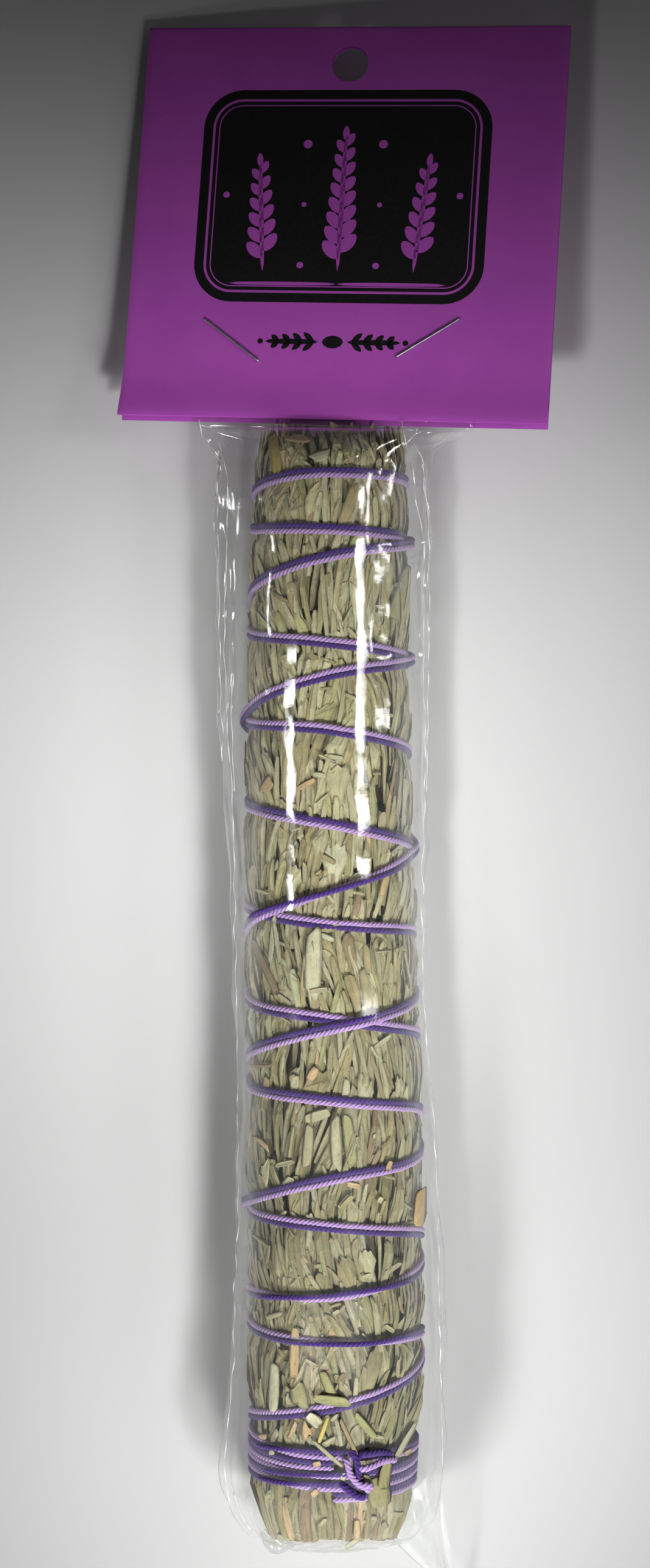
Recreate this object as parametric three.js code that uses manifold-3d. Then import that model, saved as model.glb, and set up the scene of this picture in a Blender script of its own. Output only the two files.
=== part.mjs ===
// A dried sage smudge stick in its retail packing, in millimetres, +Z up.
// The stick lies along Y with its leaf tips toward +Y. A doubled cotton thread is wound criss-cross
// round it, a clear bag holds it, and a folded header card with two staples closes the bag.
import * as THREE from 'three';
import Module from 'manifold-3d';

const wasm = await Module();
wasm.setup();

const { clamp, degToRad, lerp, smoothstep } = THREE.MathUtils;

// The bundle: half its thickness at stations along its length, and how far its middle is from X = 0.
const BUNDLE_STATIONS = [
  { y: -131.5, radius: 10.6, x: 1.3 },
  { y: -128.0, radius: 12.3, x: 1.3 },
  { y: -122.5, radius: 13.9, x: 1.3 },
  { y: -112.0, radius: 14.2, x: 1.6 },
  { y: -100.0, radius: 14.9, x: 1.9 },
  { y: -60.0, radius: 14.8, x: 1.8 },
  { y: -12.0, radius: 14.2, x: 0.7 },
  { y: 19.0, radius: 13.7, x: 0.5 },
  { y: 49.0, radius: 13.2, x: 0.9 },
  { y: 56.5, radius: 12.7, x: 1.1 },
  { y: 61.0, radius: 11.6, x: 1.2 },
];
const UNDERSIDE_PRESSED_IN = 1.4;
const NOSE_START = 50;
const NOSE_END = 61;
const NOSE_HALF_HEIGHT = 3.2;

// The leafy sprigs: a ring of outer ones round four in the heart, with a fine gap between neighbours.
const OUTER_SPRIGS = 10;
const HEART_SPRIGS = 4;
const SPRIG_GAP = 0.3;
const HEART_REACH = 0.42;
const OUTER_ROOT = 0.46;
const CORE_DEPTH = 2.4;
const BUNDLE_TWIST = 5;
const LEAF_THICKNESS = 1.3;
const TIP_LEAF_THICKNESS = 0.7;
const LEAF_RISE = 0.75;
const LEAF_TOP = -0.45;
const LEAF_LENGTH = 20;
const LEAF_WIDTHS = { plain: 3.7, toothed: 4.6 };
const LEAF_LANES = [-2.5, 2.3, 0];
const FIRST_LEAF = -131.3;
const LAST_LEAF = 44.5;
const FIRST_FREE_TIP = 34;
const LEAVES_PER_SPRIG = 16;
const CORE_STATIONS = [-129.5, -122.5, -100, -60, -12, 19, 49, 55];
const TOOTHED_SHARE = 0.15;
const STEM_RADIUS = 1.1;
const STEM_LENGTH = 9;
const STEM_SIDES = 6;

// The doubled thread. Each row is one pass over the top of the bundle, as its place along Y at the
// left edge, the crown and the right edge. The rising passes are wound first toward the leaf tips.
const THREAD_RADIUS = 0.5;
const STRAND_OFFSET = 0.58;
const THREAD_HEIGHT = 0.6;
const CROSSING_LIFT = 1.12;
const CROSSING_REACH = 2.2;
const STEPS_PER_TURN = 14;
const RISING_PASSES = [
  [-118.8, -118.8, -118.8],
  [-110.5, -105.8, -100.3],
  [-88.9, -87.0, -83.5],
  [-73.5, -67.0, -63.9],
  [-47.9, -41.5, -36.8],
  [-25.7, -18.3, -10.7],
  [11.5, 18.6, 22.1],
  [33.2, 39.0, 42.6],
  [51.3, 53.4, 53.2],
];
const FALLING_PASSES = [
  [45.0, 43.6, 42.4],
  [26.9, 24.2, 21.7],
  [11.1, 9.3, 5.6],
  [-3.2, -6.8, -11.2],
  [-21.2, -23.9, -26.1],
  [-37.4, -40.0, -43.9],
  [-52.4, -53.9, -57.3],
  [-74.0, -75.3, -78.9],
  [-93.9, -94.9, -96.0],
  [-113.9, -113.9, -113.9],
];
const BAND_START = [-121.25, -121.25, -120.1];
const BAND_END = [-115.1, -116.35, -116.35];
const TAIL_LENGTH = 7;
const TAIL_HEIGHT = 1.75;

// The clear bag: a thin film that stands off the bundle far enough for two threads to cross under it.
const FILM = 0.25;
const FILM_STANDOFF = 2.65;
const BAG_SIDES = 28;
const BAG_FLAT_HALF_WIDTH = 24.6;
const BAG_SLIT = 0.2;
const BAG_MOUTH = 26;
const EAR_ROOT = [[12.4, -131.6], [17.6, -124.0]];
const EAR_SHOULDER = [21.6, -127.0];
const EAR_TIP = [24.4, -147.6, 5.2];
const EAR_THICKNESS = 0.8;

// The header card, folded at its top edge over the mouth of the bag and pushed open at its lower one.
const CARD_WIDTH = 76.2;
const CARD_HEIGHT = 72.5;
const CARD_STOCK = 0.35;
const CARD_HALF_GAP = 0.55;
const CARD_GAPE = [[0, 3.2], [5, 1.4], [9.5, CARD_HALF_GAP]];
const CARD_BACK_EXTRA = 1.2;
const CARD_PLACE = new THREE.Vector3(1.08, 63.41, 16.42);
const CARD_TURN = new THREE.Euler(degToRad(-5.95), degToRad(-10.1), degToRad(-3.81), 'ZXY');
const HANG_HOLE = { across: -0.84, up: 65.4, radius: 3.3 };

// The staples, by the ends of their crowns on the card's front, across and up from its lower edge.
const STAPLES = {
  staple_left: [[-23.9, 18.15], [-13.6, 10.7]],
  staple_right: [[11.0, 11.9], [21.6, 18.8]],
};
const WIRE_RADIUS = 0.25;
const WIRE_CLEARANCE = 0.1;
const CLINCH_LENGTH = 4.2;
const LEG_HOLE_RADIUS = 0.62;
const WIRE_BEND = 0.35;

// A repeatable source of random numbers from 0 to 1.
function makeRandom(seed) {
  let state = seed;
  return () => {
    state = (state * 1664525 + 1013904223) % 4294967296;
    return state / 4294967296;
  };
}

// The value of a named column at a height y, in rows sorted by y.
function along(rows, y, column) {
  const last = rows.length - 1;
  if (y <= rows[0].y) return rows[0][column];
  if (y >= rows[last].y) return rows[last][column];
  const next = rows.findIndex((row) => row.y > y);
  const [low, high] = [rows[next - 1], rows[next]];
  return lerp(low[column], high[column], (y - low.y) / (high.y - low.y));
}

// The bundle's cross-section at y: its middle and its half width and half height. Toward the card it
// closes to a blunt nose.
function bundleAt(y) {
  const halfWidth = along(BUNDLE_STATIONS, y, 'radius');
  const nose = clamp((y - NOSE_START) / (NOSE_END - NOSE_START), 0, 1);
  const halfHeight = lerp(NOSE_HALF_HEIGHT, halfWidth, Math.sqrt(1 - nose * nose));
  const restRadius = along(BUNDLE_STATIONS, clamp(y, -100, NOSE_START), 'radius');
  const lying = restRadius + FILM_STANDOFF - UNDERSIDE_PRESSED_IN;
  return {
    x: along(BUNDLE_STATIONS, y, 'x'),
    z: lerp(lying, CARD_PLACE.z, smoothstep(y, NOSE_START - 1, NOSE_END)),
    halfWidth,
    halfHeight,
  };
}

// How much the pressed underside draws the section in, in the direction phi.
function pressedShare(section, phi) {
  const down = -Math.sin(phi);
  if (down <= 0) return 1;
  return Math.min(1, (section.z / down - FILM_STANDOFF) / section.halfHeight);
}

// A point in the direction phi, at a height over the leaves' envelope.
function surfacePoint(phi, y, height) {
  const section = bundleAt(y);
  const share = pressedShare(section, phi);
  return new THREE.Vector3(
    section.x + (section.halfWidth * share + height) * Math.cos(phi),
    y,
    section.z + (section.halfHeight * share + height) * Math.sin(phi),
  );
}

// A point in the direction phi, at a fraction of the way from the bundle's middle to its envelope.
function innerPoint(phi, y, fraction) {
  const section = bundleAt(y);
  const share = pressedShare(section, phi) * fraction;
  return new THREE.Vector3(
    section.x + section.halfWidth * share * Math.cos(phi),
    y,
    section.z + section.halfHeight * share * Math.sin(phi),
  );
}

// A closed solid from points and faces of any number of corners, turned so that its faces point out.
function solidFrom(points, faces) {
  const triangles = faces.flatMap((face) =>
    face.slice(2).map((corner, i) => [face[0], face[i + 1], corner]));
  let volume = 0;
  for (const [a, b, c] of triangles) {
    volume += points[a].dot(new THREE.Vector3().crossVectors(points[b], points[c]));
  }
  const outward = volume > 0 ? triangles : triangles.map(([a, b, c]) => [a, c, b]);
  return new wasm.Manifold(new wasm.Mesh({
    numProp: 3,
    vertProperties: new Float32Array(points.flatMap((point) => point.toArray())),
    triVerts: new Uint32Array(outward.flat()),
  }));
}

// A solid through rings of equal size, closed by a flat or pointed cap at both ends.
function loft(rings) {
  const size = rings[0].length;
  const faces = [];
  for (let i = 1; i < rings.length; i += 1) {
    for (let j = 0; j < size; j += 1) {
      const next = (j + 1) % size;
      faces.push([(i - 1) * size + j, (i - 1) * size + next, i * size + next, i * size + j]);
    }
  }
  const lastRing = (rings.length - 1) * size;
  faces.push(rings[0].map((_, j) => size - 1 - j));
  faces.push(rings[0].map((_, j) => lastRing + j));
  return solidFrom(rings.flat(), faces);
}

// Joins solids and keeps the one body that holds them together.
function fuse(solids) {
  const whole = wasm.Manifold.union(solids);
  const bodies = whole.decompose();
  return bodies.reduce((best, body) => (body.volume() > best.volume() ? body : best));
}

function geometryOf(solid) {
  const { vertProperties, triVerts } = solid.getMesh();
  const geometry = new THREE.BufferGeometry();
  geometry.setAttribute('position', new THREE.BufferAttribute(vertProperties, 3));
  geometry.setIndex(new THREE.BufferAttribute(triVerts, 1));
  geometry.computeVertexNormals();
  return geometry;
}

function solidOf(geometry) {
  const position = (geometry.index ? geometry.toNonIndexed() : geometry).attributes.position;
  const points = [];
  const places = new Map();
  const corners = [];
  for (let i = 0; i < position.count; i += 1) {
    const point = new THREE.Vector3().fromBufferAttribute(position, i);
    const place = point.toArray().map((value) => Math.round(value * 1e4)).join();
    if (!places.has(place)) {
      places.set(place, points.length);
      points.push(point);
    }
    corners.push(places.get(place));
  }
  const faces = [];
  for (let i = 0; i < corners.length; i += 3) {
    const face = corners.slice(i, i + 3);
    if (new Set(face).size === 3) faces.push(face);
  }
  return solidFrom(points, faces);
}

// A sprig's place: the direction of its middle line at y, and half its room in millimetres of arc.
function sprigRoom(index, y) {
  const radius = along(BUNDLE_STATIONS, y, 'radius');
  const twist = degToRad(BUNDLE_TWIST) * Math.sin(y / 55);
  return {
    middle: (2 * Math.PI * index) / OUTER_SPRIGS + twist,
    halfArc: (Math.PI / OUTER_SPRIGS) * radius - SPRIG_GAP / 2,
    radius,
  };
}

// A share of the half room, bent back softly as it nears the edge at 1.
function bentBack(share) {
  const free = 0.6;
  const over = Math.abs(share) - free;
  if (over <= 0) return share;
  return Math.sign(share) * (free + (1 - free) * Math.tanh(over / (1 - free)));
}

// A point on a sprig, across millimetres from its middle line, kept inside its room.
function sprigPoint(index, across, y, height) {
  const { middle, halfArc, radius } = sprigRoom(index, y);
  return surfacePoint(middle + (bentBack(across / halfArc) * halfArc) / radius, y, height);
}

// The outlines of a leaf, as [share of its length, share of its half width], and the last row first
// on the other side. The toothed kind widens to three blunt teeth at its tip.
const LEAF_OUTLINES = {
  plain: [[0, 0.45], [0.6, 1], [1, 0.22]],
  toothed: [[0, 0.3], [0.6, 0.75], [0.93, 1.15], [0.86, 0.5], [1, 0.2]],
};

// One leaf blade lying on a sprig, its root sunk in the sprig's core and its tip toward the card.
function leafBlade(index, { across, y, length, width, tilt, kind, lift, thickness }) {
  const outline = LEAF_OUTLINES[kind];
  const sides = [...outline.map(([s, t]) => [s, t]), ...outline.map(([s, t]) => [s, -t]).reverse()];
  const belly = 0.6;
  const root = -CORE_DEPTH - 0.4;
  const middle = LEAF_TOP - LEAF_RISE - lift;
  const tip = LEAF_TOP - 0.6 * lift;
  const heightAt = (s) =>
    (s < belly ? lerp(root, middle, s / belly) : lerp(middle, tip, (s - belly) / (1 - belly)));
  const place = ([s, t], depth) => {
    const out = s * length;
    const side = (t * width) / 2;
    const u = across + out * Math.sin(tilt) + side * Math.cos(tilt);
    const v = y + out * Math.cos(tilt) - side * Math.sin(tilt);
    return sprigPoint(index, u, v, heightAt(s) - depth);
  };
  const top = sides.map((corner) => place(corner, 0));
  const under = sides.map((corner) => place(corner, thickness));
  const size = sides.length;
  const faces = [];
  for (let i = 0; i < size; i += 1) {
    const next = (i + 1) % size;
    faces.push([i, next, size + next], [i, size + next, size + i]);
  }
  for (let i = 0; i + 1 < outline.length; i += 1) {
    const [a, b, c, d] = [i, i + 1, size - 2 - i, size - 1 - i];
    faces.push([a, d, c], [a, c, b]);
    faces.push([size + a, size + c, size + d], [size + a, size + b, size + c]);
  }
  return solidFrom([...top, ...under], faces);
}

// The pressed mass of stems and inner leaves that an outer sprig's visible leaves grow from.
function outerCore(index) {
  return loft(CORE_STATIONS.map((y) => {
    const { middle, radius } = sprigRoom(index, y);
    const half = Math.PI / OUTER_SPRIGS;
    const outerHalf = half - SPRIG_GAP / 2 / (radius - CORE_DEPTH);
    const innerHalf = half - SPRIG_GAP / 2 / (radius * OUTER_ROOT);
    const arc = [-1, -0.33, 0.33, 1].map((side) =>
      surfacePoint(middle + side * outerHalf, y, -CORE_DEPTH));
    const root = [1, -1].map((side) => innerPoint(middle + side * innerHalf, y, OUTER_ROOT));
    return [...arc, ...root];
  }));
}

// A cut stem end that stands out of the stem end of the bundle.
function cutStem(phi, fraction, end) {
  const middle = innerPoint(phi, end, fraction);
  const stem = new THREE.CylinderGeometry(STEM_RADIUS, STEM_RADIUS, STEM_LENGTH, STEM_SIDES);
  stem.translate(middle.x, end + STEM_LENGTH / 2, middle.z);
  return solidOf(stem);
}

function outerSprig(index) {
  const random = makeRandom(1000 + 37 * index);
  const spread = (reach) => (random() * 2 - 1) * reach;
  const solids = [outerCore(index)];
  for (let i = 0; i < LEAVES_PER_SPRIG; i += 1) {
    const share = i / (LEAVES_PER_SPRIG - 1);
    const kind = random() < TOOTHED_SHARE ? 'toothed' : 'plain';
    const side = LEAF_LANES[i % LEAF_LANES.length];
    const y = clamp(lerp(FIRST_LEAF, LAST_LEAF, share) + spread(1.5), FIRST_LEAF, LAST_LEAF);
    solids.push(leafBlade(index, {
      kind,
      across: side + spread(0.6),
      y,
      length: Math.min(LEAF_LENGTH + spread(3), NOSE_END - 0.7 - y),
      width: LEAF_WIDTHS[kind] + spread(0.5),
      tilt: degToRad(-side * 2 + spread(9)),
      lift: random() * 0.7,
      thickness: y > FIRST_FREE_TIP ? TIP_LEAF_THICKNESS : LEAF_THICKNESS,
    }));
  }
  const { middle } = sprigRoom(index, -128);
  solids.push(cutStem(middle, 0.7, -132.4 + spread(0.4)));
  return fuse(solids);
}

// A sprig in the heart of the bundle: a quarter of the space inside the outer ring, with cut stems
// at one end and three leaf tips at the other.
function heartSprig(index) {
  const random = makeRandom(5000 + 11 * index);
  const quarter = (2 * Math.PI) / HEART_SPRIGS;
  const middle = quarter * (index + 0.5);
  const ring = (y, reach) => {
    const { radius } = sprigRoom(0, y);
    const edge = quarter / 2 - SPRIG_GAP / 2 / (radius * reach);
    const corner = innerPoint(middle, y, 0.05);
    const arc = [-1, 0, 1].map((side) => innerPoint(middle + side * edge, y, reach));
    return [corner, ...arc];
  };
  const solids = [loft(CORE_STATIONS.map((y) => ring(y, HEART_REACH)))];
  const tipCorners = [[-0.14, -0.06], [0.14, -0.06], [0.14, 0.08], [-0.14, 0.08]];
  for (let i = 0; i < 3; i += 1) {
    const phi = middle + (i - 1) * 0.36;
    const reach = 0.16 + 0.06 * (i % 2) + 0.03 * random();
    const section = (y, size) => tipCorners.map(([turn, out]) =>
      innerPoint(phi + turn * size, y, reach + out * size));
    solids.push(loft([section(50, 1), section(58.5 + random(), 0.75)]));
  }
  solids.push(cutStem(middle, 0.26, -131.8));
  return fuse(solids);
}

// A smooth function of the winding angle through one value for each quarter turn, which never swings
// past the values on its two sides.
function windingRoute(quarters) {
  const last = quarters.length - 1;
  const at = (i) => quarters[clamp(i, 0, last)];
  const slopeAt = (i) => {
    const [before, after] = [at(i) - at(i - 1), at(i + 1) - at(i)];
    if (before * after <= 0) return 0;
    const gentlest = 3 * Math.min(Math.abs(before), Math.abs(after));
    return Math.sign(before) * Math.min(Math.abs(before + after) / 2, gentlest);
  };
  return (turns) => {
    const place = clamp(turns * 4, 0, last);
    const i = Math.min(Math.floor(place), last - 1);
    const t = place - i;
    const [p1, p2, m1, m2] = [at(i), at(i + 1), slopeAt(i), slopeAt(i + 1)];
    const [t2, t3] = [t * t, t * t * t];
    const ends = (2 * t3 - 3 * t2 + 1) * p1 + (3 * t2 - 2 * t3) * p2;
    return ends + (t3 - 2 * t2 + t) * m1 + (t3 - t2) * m2;
  };
}

// The quarter-turn values of a row of passes: three for each pass, and one for the back after it.
function quarterValues(passes) {
  return passes.flatMap((pass, i) => {
    const next = passes[i + 1];
    return next ? [...pass, (pass[2] + next[0]) / 2] : pass;
  });
}

// The route of the doubled thread, in samples { phi, y, lift } that all lie on the same rays round
// the bundle, so that one pass clears the other wherever they cross.
function threadSamples() {
  const risingQuarters = [...BAND_START, ...quarterValues(RISING_PASSES)];
  const fallingQuarters = [...quarterValues(FALLING_PASSES), ...BAND_END];
  const backOfTop = (risingQuarters.at(-1) + fallingQuarters[0]) / 2;
  const quarters = [...risingQuarters, backOfTop, ...fallingQuarters];
  const route = windingRoute(quarters);
  const count = ((quarters.length - 1) * STEPS_PER_TURN) / 4;
  const turnOfTop = risingQuarters.length / 4;
  // The route starts on the crown, a quarter turn after the left edge.
  const samples = [];
  for (let i = 0; i <= count; i += 1) {
    const turns = i / STEPS_PER_TURN;
    samples.push({ turns, phi: Math.PI / 2 - 2 * Math.PI * turns, y: route(turns), lift: 0 });
  }
  const rising = (sample) => sample.turns <= turnOfTop;
  const gapAt = (index, other) => {
    const [near, far] = [samples[index], samples[other]];
    return near && far && rising(near) && !rising(far) ? near.y - far.y : Infinity;
  };
  samples.forEach((sample, index) => {
    if (!rising(sample)) return;
    for (let other = index % STEPS_PER_TURN; other <= count; other += STEPS_PER_TURN) {
      const gaps = [-1, 0, 1]
        .map((step) => gapAt(index + step, other + step))
        .filter(Number.isFinite);
      const closest = Math.min(...gaps.map(Math.abs));
      const swaps = gaps.some((gap) => gap > 0) && gaps.some((gap) => gap < 0);
      if (gaps.length && (closest < CROSSING_REACH || swaps)) sample.lift = CROSSING_LIFT;
    }
  });
  return samples;
}

// A tube with a square section set on its corner, through points with an outward direction at each.
function squareTube(stations, radius) {
  const rings = stations.map(({ point, outward }, i) => {
    const before = stations[Math.max(i - 1, 0)].point;
    const after = stations[Math.min(i + 1, stations.length - 1)].point;
    const forward = new THREE.Vector3().subVectors(after, before).normalize();
    const across = new THREE.Vector3().crossVectors(outward, forward).normalize();
    const up = new THREE.Vector3().crossVectors(forward, across);
    return [[1, 0], [0, 1], [-1, 0], [0, -1]].map(([a, b]) =>
      point.clone().addScaledVector(across, a * radius).addScaledVector(up, b * radius));
  });
  return loft(rings);
}

// One strand of the doubled thread, side = 1 for the one nearer the leaf tips. It ends in a tail that
// turns along the bundle over the tight band.
function threadStrand(samples, side) {
  const stations = samples.map(({ phi, y, lift }) => {
    const height = THREAD_HEIGHT + lift;
    const point = surfacePoint(phi, y + side * STRAND_OFFSET, height);
    const outward = surfacePoint(phi, y + side * STRAND_OFFSET, height + 1).sub(point).normalize();
    return { point, outward };
  });
  const last = stations.pop();
  const section = bundleAt(last.point.y);
  const tailX = section.x + side * 0.75;
  const phi = Math.acos(clamp((tailX - section.x) / section.halfWidth, -1, 1));
  const tail = (drop, height) => {
    const point = surfacePoint(phi, last.point.y - drop, height);
    return { point, outward: new THREE.Vector3(0, 0, 1) };
  };
  stations.push(tail(0, THREAD_HEIGHT + 0.35), tail(1.1, TAIL_HEIGHT), tail(TAIL_LENGTH, TAIL_HEIGHT));
  return squareTube(stations, THREAD_RADIUS);
}

// The frame of the header card: across it, up from its lower edge, and out of its front.
const cardFrame = new THREE.Matrix4().makeRotationFromEuler(CARD_TURN).setPosition(CARD_PLACE);
const cardPoint = (across, up, out) => new THREE.Vector3(across, up, out).applyMatrix4(cardFrame);

// A ring of the bag's outer face (inset 0) or inner face, at a station along the bag.
function bagRing(station, inset) {
  const { centre, across, up, halfWidth, halfHeight, wings = [0, 0], boxy = 1 } = station;
  const wide = halfWidth - inset;
  const high = halfHeight - inset;
  return Array.from({ length: BAG_SIDES }, (_, j) => {
    const phi = (2 * Math.PI * j) / BAG_SIDES;
    const rise = Math.sign(Math.sin(phi)) * Math.abs(Math.sin(phi)) ** boxy;
    const room = boxy === 1 && rise < -0.3 ? (centre.z - inset) / (-rise * high) : 1;
    const share = Math.min(1, room);
    const wing = j === 0 ? wings[0] : j === BAG_SIDES / 2 ? wings[1] : 0;
    const outward = Math.sign(Math.cos(phi)) * Math.max(wing - 2 * inset, 0);
    const reach = wide * share * Math.cos(phi) + outward;
    return centre.clone().addScaledVector(across, reach).addScaledVector(up, high * share * rise);
  });
}

const EAST = new THREE.Vector3(1, 0, 0);
const SKY = new THREE.Vector3(0, 0, 1);

// The bag's stations from its closed end to its mouth between the card's panels.
function bagStations() {
  const bundleStation = (y, wings) => {
    const section = bundleAt(y);
    return {
      centre: new THREE.Vector3(section.x, y, section.z),
      across: EAST,
      up: SKY,
      halfWidth: section.halfWidth + FILM_STANDOFF,
      halfHeight: section.halfHeight + FILM_STANDOFF,
      wings,
    };
  };
  const shaped = (y, halfWidth, halfHeight, wings, turned = 0) => {
    const section = bundleAt(y);
    const turn = new THREE.Quaternion().slerp(new THREE.Quaternion().setFromEuler(CARD_TURN), turned);
    return {
      centre: new THREE.Vector3(section.x, y, section.z),
      across: EAST.clone().applyQuaternion(turn),
      up: SKY.clone().applyQuaternion(turn),
      halfWidth,
      halfHeight,
      wings,
    };
  };
  const cardAcross = new THREE.Vector3().setFromMatrixColumn(cardFrame, 0);
  const cardOut = new THREE.Vector3().setFromMatrixColumn(cardFrame, 2);
  const filmHalf = BAG_SLIT / 2 + FILM;
  const inCard = (up, halfHeight) => ({
    centre: cardPoint(0.15, up, 0),
    across: cardAcross,
    up: cardOut,
    halfWidth: BAG_FLAT_HALF_WIDTH,
    halfHeight,
    boxy: halfHeight > 1 ? 0.8 : 0.35,
  });
  return [
    shaped(-134.6, 11.5, 8.5, [1.0, 0.5]),
    shaped(-133.4, 14.0, 12.0, [2.5, 1.0]),
    shaped(-129.0, 15.6, 15.2, [3.4, 1.2]),
    bundleStation(-122.5, [3.4, 1.6]),
    bundleStation(-112.0, [3.3, 1.8]),
    bundleStation(-100.0, [2.8, 1.8]),
    bundleStation(-60.0, [1.8, 1.4]),
    bundleStation(-12.0, [1.8, 2.2]),
    bundleStation(19.0, [2.2, 3.2]),
    bundleStation(49.0, [2.8, 3.8]),
    shaped(55.6, 16.0, 14.3, [2.6, 3.8], 0.2),
    shaped(58.4, 17.8, 11.4, [2.4, 3.0], 0.55),
    shaped(60.5, 20.6, 8.0, [1.8, 1.8], 0.9),
    inCard(-1.5, CARD_GAPE[0][1] - 0.2),
    inCard(5, CARD_GAPE[1][1] - 0.2),
    inCard(9.5, filmHalf),
    inCard(BAG_MOUTH, filmHalf),
  ];
}

// The gathered corner of the bag that sticks out past its closed end, on the right.
function bagEar() {
  const level = bundleAt(EAR_SHOULDER[1]).z - 0.5;
  const [inner, outer] = EAR_ROOT;
  const outline = [[...inner, level], EAR_TIP, [...EAR_SHOULDER, level], [...outer, level]];
  const rings = [-0.5, 0.5].map((side) =>
    outline.map(([x, y, z]) => new THREE.Vector3(x, y, z + side * EAR_THICKNESS)));
  return loft(rings);
}

function clearBag() {
  const stations = bagStations();
  const outer = loft(stations.map((station) => bagRing(station, 0)));
  const space = stations.map((station) => bagRing(station, FILM));
  const outOfMouth = new THREE.Vector3().setFromMatrixColumn(cardFrame, 1);
  space[0].forEach((point) => { point.y += FILM; });
  space.at(-1).forEach((point) => point.add(outOfMouth));
  const film = outer.add(bagEar()).subtract(loft(space));
  return legHoles(film, cardFrame);
}

// A round hole or leg hole through the card's front and back, as a prism along the card's depth.
function throughCard(across, up, radius, sides) {
  const prism = new THREE.CylinderGeometry(radius, radius, 14, sides);
  prism.rotateX(Math.PI / 2);
  prism.translate(across, up, 0);
  return prism;
}

// Cuts the holes that the staples' legs pass through, in a solid placed by the given frame.
function legHoles(solid, frame) {
  let result = solid;
  for (const ends of Object.values(STAPLES)) {
    for (const [across, up] of ends) {
      const prism = throughCard(across, up, LEG_HOLE_RADIUS, 6).applyMatrix4(frame);
      result = result.subtract(solidOf(prism));
    }
  }
  return result;
}

// The folded card, drawn as its edge seen from the side and extruded over its width.
function headerCard() {
  const foldUp = CARD_HEIGHT - CARD_HALF_GAP - CARD_STOCK;
  const edge = (side, offset, extra) =>
    CARD_GAPE.map(([up, gap]) => [up - (up === 0 ? extra : 0), side * (gap + offset)]);
  const fold = (radius, from, to) => Array.from({ length: 5 }, (_, i) => {
    const turn = degToRad(lerp(from, to, i / 4));
    return [foldUp + radius * Math.cos(turn), radius * Math.sin(turn)];
  });
  const outline = [
    ...edge(1, CARD_STOCK, 0),
    ...fold(CARD_HALF_GAP + CARD_STOCK, 90, -90),
    ...edge(-1, CARD_STOCK, CARD_BACK_EXTRA).reverse(),
    ...edge(-1, 0, CARD_BACK_EXTRA),
    ...fold(CARD_HALF_GAP, -90, 90),
    ...edge(1, 0, 0).reverse(),
  ];
  const shape = new THREE.Shape(outline.map(([up, out]) => new THREE.Vector2(up, out)));
  const card = new THREE.ExtrudeGeometry(shape, { depth: CARD_WIDTH, bevelEnabled: false });
  card.translate(0, 0, -CARD_WIDTH / 2);
  const [up, out, across] = [new THREE.Vector3(0, 1, 0), new THREE.Vector3(0, 0, 1), EAST];
  card.applyMatrix4(new THREE.Matrix4().makeBasis(up, out, across));
  const hole = solidOf(throughCard(HANG_HOLE.across, HANG_HOLE.up, HANG_HOLE.radius, 24));
  return legHoles(solidOf(card).subtract(hole), new THREE.Matrix4());
}

// A clinched staple in the card's frame: the crown in front, the legs through, the ends folded in.
function staple([start, end]) {
  const out = CARD_HALF_GAP + CARD_STOCK + WIRE_CLEARANCE + WIRE_RADIUS;
  const [a, b] = [start, end].map(([across, up]) => new THREE.Vector2(across, up));
  const inward = b.clone().sub(a).setLength(CLINCH_LENGTH);
  const corners = [
    [a.clone().add(inward), -out - 0.2],
    [a, -out],
    [a, out],
    [b, out],
    [b, -out],
    [b.clone().sub(inward), -out - 0.2],
  ].map(([place, depth]) => new THREE.Vector3(place.x, place.y, depth));
  const points = corners.flatMap((corner, i) => {
    if (i === 0 || i === corners.length - 1) return [corner];
    const back = corners[i - 1].clone().sub(corner).setLength(WIRE_BEND);
    const on = corners[i + 1].clone().sub(corner).setLength(WIRE_BEND);
    const bend = corner.clone().addScaledVector(back, 0.3).addScaledVector(on, 0.3);
    return [corner.clone().add(back), bend, corner.clone().add(on)];
  });
  const side = new THREE.Vector3(-(b.y - a.y), b.x - a.x, 0).normalize();
  const rings = points.map((point, i) => {
    const [before, after] = [points[Math.max(i - 1, 0)], points[Math.min(i + 1, points.length - 1)]];
    const forward = after.clone().sub(before).normalize();
    const normal = new THREE.Vector3().crossVectors(forward, side).normalize();
    return Array.from({ length: 6 }, (_, j) => {
      const turn = (Math.PI * j) / 3;
      return point.clone()
        .addScaledVector(side, WIRE_RADIUS * Math.cos(turn))
        .addScaledVector(normal, WIRE_RADIUS * Math.sin(turn));
    });
  });
  return loft(rings);
}

function namedMesh(name, solid, material) {
  const mesh = new THREE.Mesh(geometryOf(solid), material);
  mesh.name = name;
  return mesh;
}

const sageLeaf = new THREE.MeshStandardMaterial({ color: 0x8b8b6f, roughness: 0.9 });
const sageHeart = new THREE.MeshStandardMaterial({ color: 0x6d6a50, roughness: 0.95 });
const darkCotton = new THREE.MeshStandardMaterial({ color: 0x4b2a7c, roughness: 0.85 });
const lightCotton = new THREE.MeshStandardMaterial({ color: 0xa98bc4, roughness: 0.85 });
const clearFilm = new THREE.MeshStandardMaterial({
  color: 0xdfe6ea, roughness: 0.12, transparent: true, opacity: 0.35,
});
const purpleCard = new THREE.MeshStandardMaterial({ color: 0x8a3a92, roughness: 0.6 });
const steelWire = new THREE.MeshStandardMaterial({ color: 0xb8b8bc, roughness: 0.35, metalness: 1 });

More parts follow.
